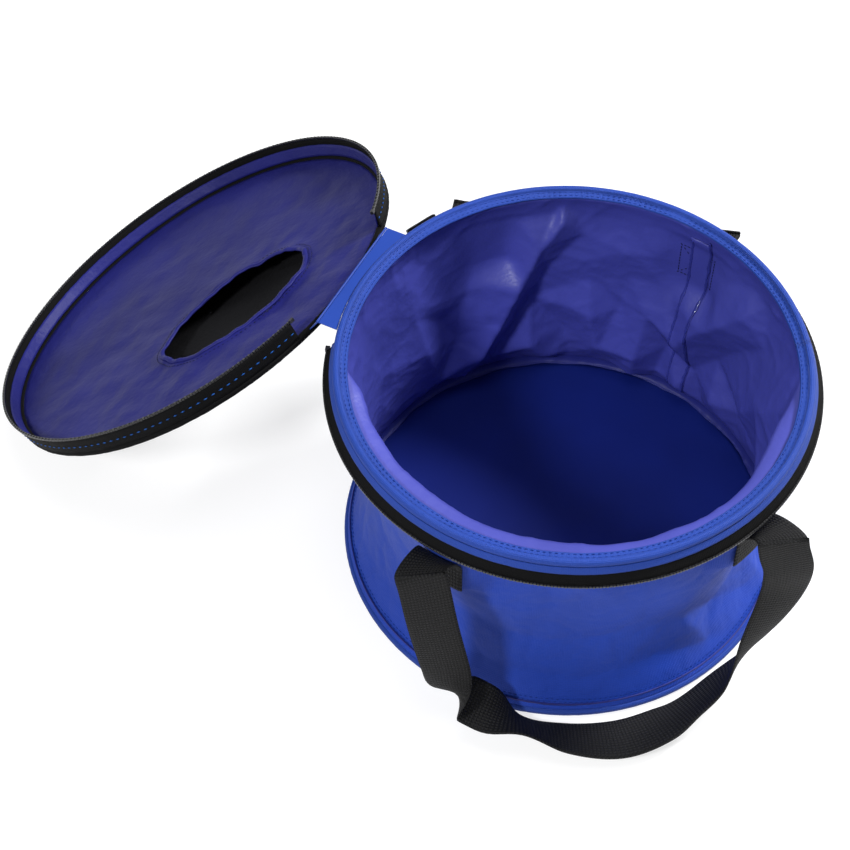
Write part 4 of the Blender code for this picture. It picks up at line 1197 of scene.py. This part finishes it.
def build_camera():
    """The photograph's camera, aimed left of the bucket so that the open lid stays in the picture."""
    photo_turn = Matrix.Rotation(PHOTO_TURN, 3, "Z")
    forward = Vector((0, cos(ELEVATION), -sin(ELEVATION)))
    right = Vector((1, 0, 0))
    up = Vector((0, sin(ELEVATION), cos(ELEVATION)))
    level = right * cos(ROLL) + up * sin(ROLL)
    upright = up * cos(ROLL) - right * sin(ROLL)
    eye = LOOKED_AT - forward * DISTANCE
    aim = (forward - level * AIM_LEFT + upright * AIM_UP).normalized()
    side = (level - aim * level.dot(aim)).normalized()
    data = bpy.data.cameras.new("camera")
    data.sensor_width = SENSOR
    data.lens = LENS
    camera = add_to_scene("camera", data)
    axes = Matrix((photo_turn @ side, photo_turn @ side.cross(aim), photo_turn @ -aim)).transposed()
    camera.matrix_world = Matrix.Translation(photo_turn @ eye) @ axes.to_4x4()
    bpy.context.scene.camera = camera


def build_ground():
    n = Nodes("pale_floor", (0.36, 0.36, 0.365), 0.85)
    n.tint(n.noise(3.0, 2.0), (0.2, (0.35, 0.35, 0.355)), (0.8, (0.37, 0.37, 0.37)))
    n.finish({"Specular IOR Level": 0.15, "Emission Color": (1, 1, 1, 1), "Emission Strength": 0.70})
    corners = [(x * GROUND_HALF, y * GROUND_HALF) for x, y in ((-1, -1), (1, -1), (1, 1), (-1, 1))]
    points = [(x, y, GROUND_HEIGHT) for x, y in corners]
    ground = mesh_object("ground", points, [(0, 1, 2, 3)], corners, [n.material], smooth=False)


def build_lights():
    for name, place, target, size, power in LIGHTS:
        light = bpy.data.lights.new(name, "AREA")
        light.shape = "DISK"
        light.size = size
        light.energy = power
        obj = add_to_scene(name, light)
        obj.location = place
        obj.rotation_euler = (Vector(target) - Vector(place)).to_track_quat("-Z", "Y").to_euler()


def build_world():
    """Soft light from all sides, that the camera sees as plain white."""
    world = bpy.data.worlds.new("studio")
    world.use_nodes = True
    tree = world.node_tree
    soft = tree.nodes["Background"]
    soft.inputs["Color"].default_value = (0.95, 0.97, 1.0, 1)
    soft.inputs["Strength"].default_value = 0.34
    white = tree.nodes.new("ShaderNodeBackground")
    white.inputs["Color"].default_value = (1, 1, 1, 1)
    white.inputs["Strength"].default_value = 1.0
    path = tree.nodes.new("ShaderNodeLightPath")
    mix = tree.nodes.new("ShaderNodeMixShader")
    tree.links.new(path.outputs["Is Camera Ray"], mix.inputs[0])
    tree.links.new(soft.outputs[0], mix.inputs[1])
    tree.links.new(white.outputs[0], mix.inputs[2])
    tree.links.new(mix.outputs[0], tree.nodes["World Output"].inputs["Surface"])
    bpy.context.scene.world = world
    bpy.context.scene.view_settings.view_transform = "Standard"


# The frame's own nodes that stay in view get a finished material

KEPT = (
    (STEEL, ("base_hoop", "rim_hoop", "lid_hoop")),
    (BINDING, ("hinge_strip_rim", "hinge_strip_lid", "hinge_seam")),
    (METAL, ("zip_stop_lower_left", "zip_stop_lower_right", "zip_stop_upper_left")),
    (METAL, ("zip_stop_upper_right", "zip_slider", "zip_pull")),
)
for material, kept_nodes in KEPT:
    for node in kept_nodes:
        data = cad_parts[node].data
        data.materials.clear()
        data.materials.append(material)

build_camera()
build_ground()
build_lights()
build_world()
build_wall()
build_hem_stitches()
build_rim()
for name, from_tip, lift in RIM_ROWS:
    build_rim_stitches(name, from_tip, lift)
build_base_piping()
build_floor()
build_cove()
for row, body, top, bottom, teeth_height, place, seed in ZIP_HALVES:
    build_zip_band(row, body, top, bottom, place, seed)
    build_zip_teeth(row, body, teeth_height, place)
for end, middle, half_span, sides in STRAPS:
    build_strap(end, middle, half_span)
for end, middle, half_span, sides in STRAPS:
    build_patch(end, sides[0], middle, -half_span)
    build_patch(end, sides[1], middle, half_span)
build_lid_edge()
build_lining()
build_hole_edge()
build_hole_stitches()
build_skirt_stitches()
build_cover()
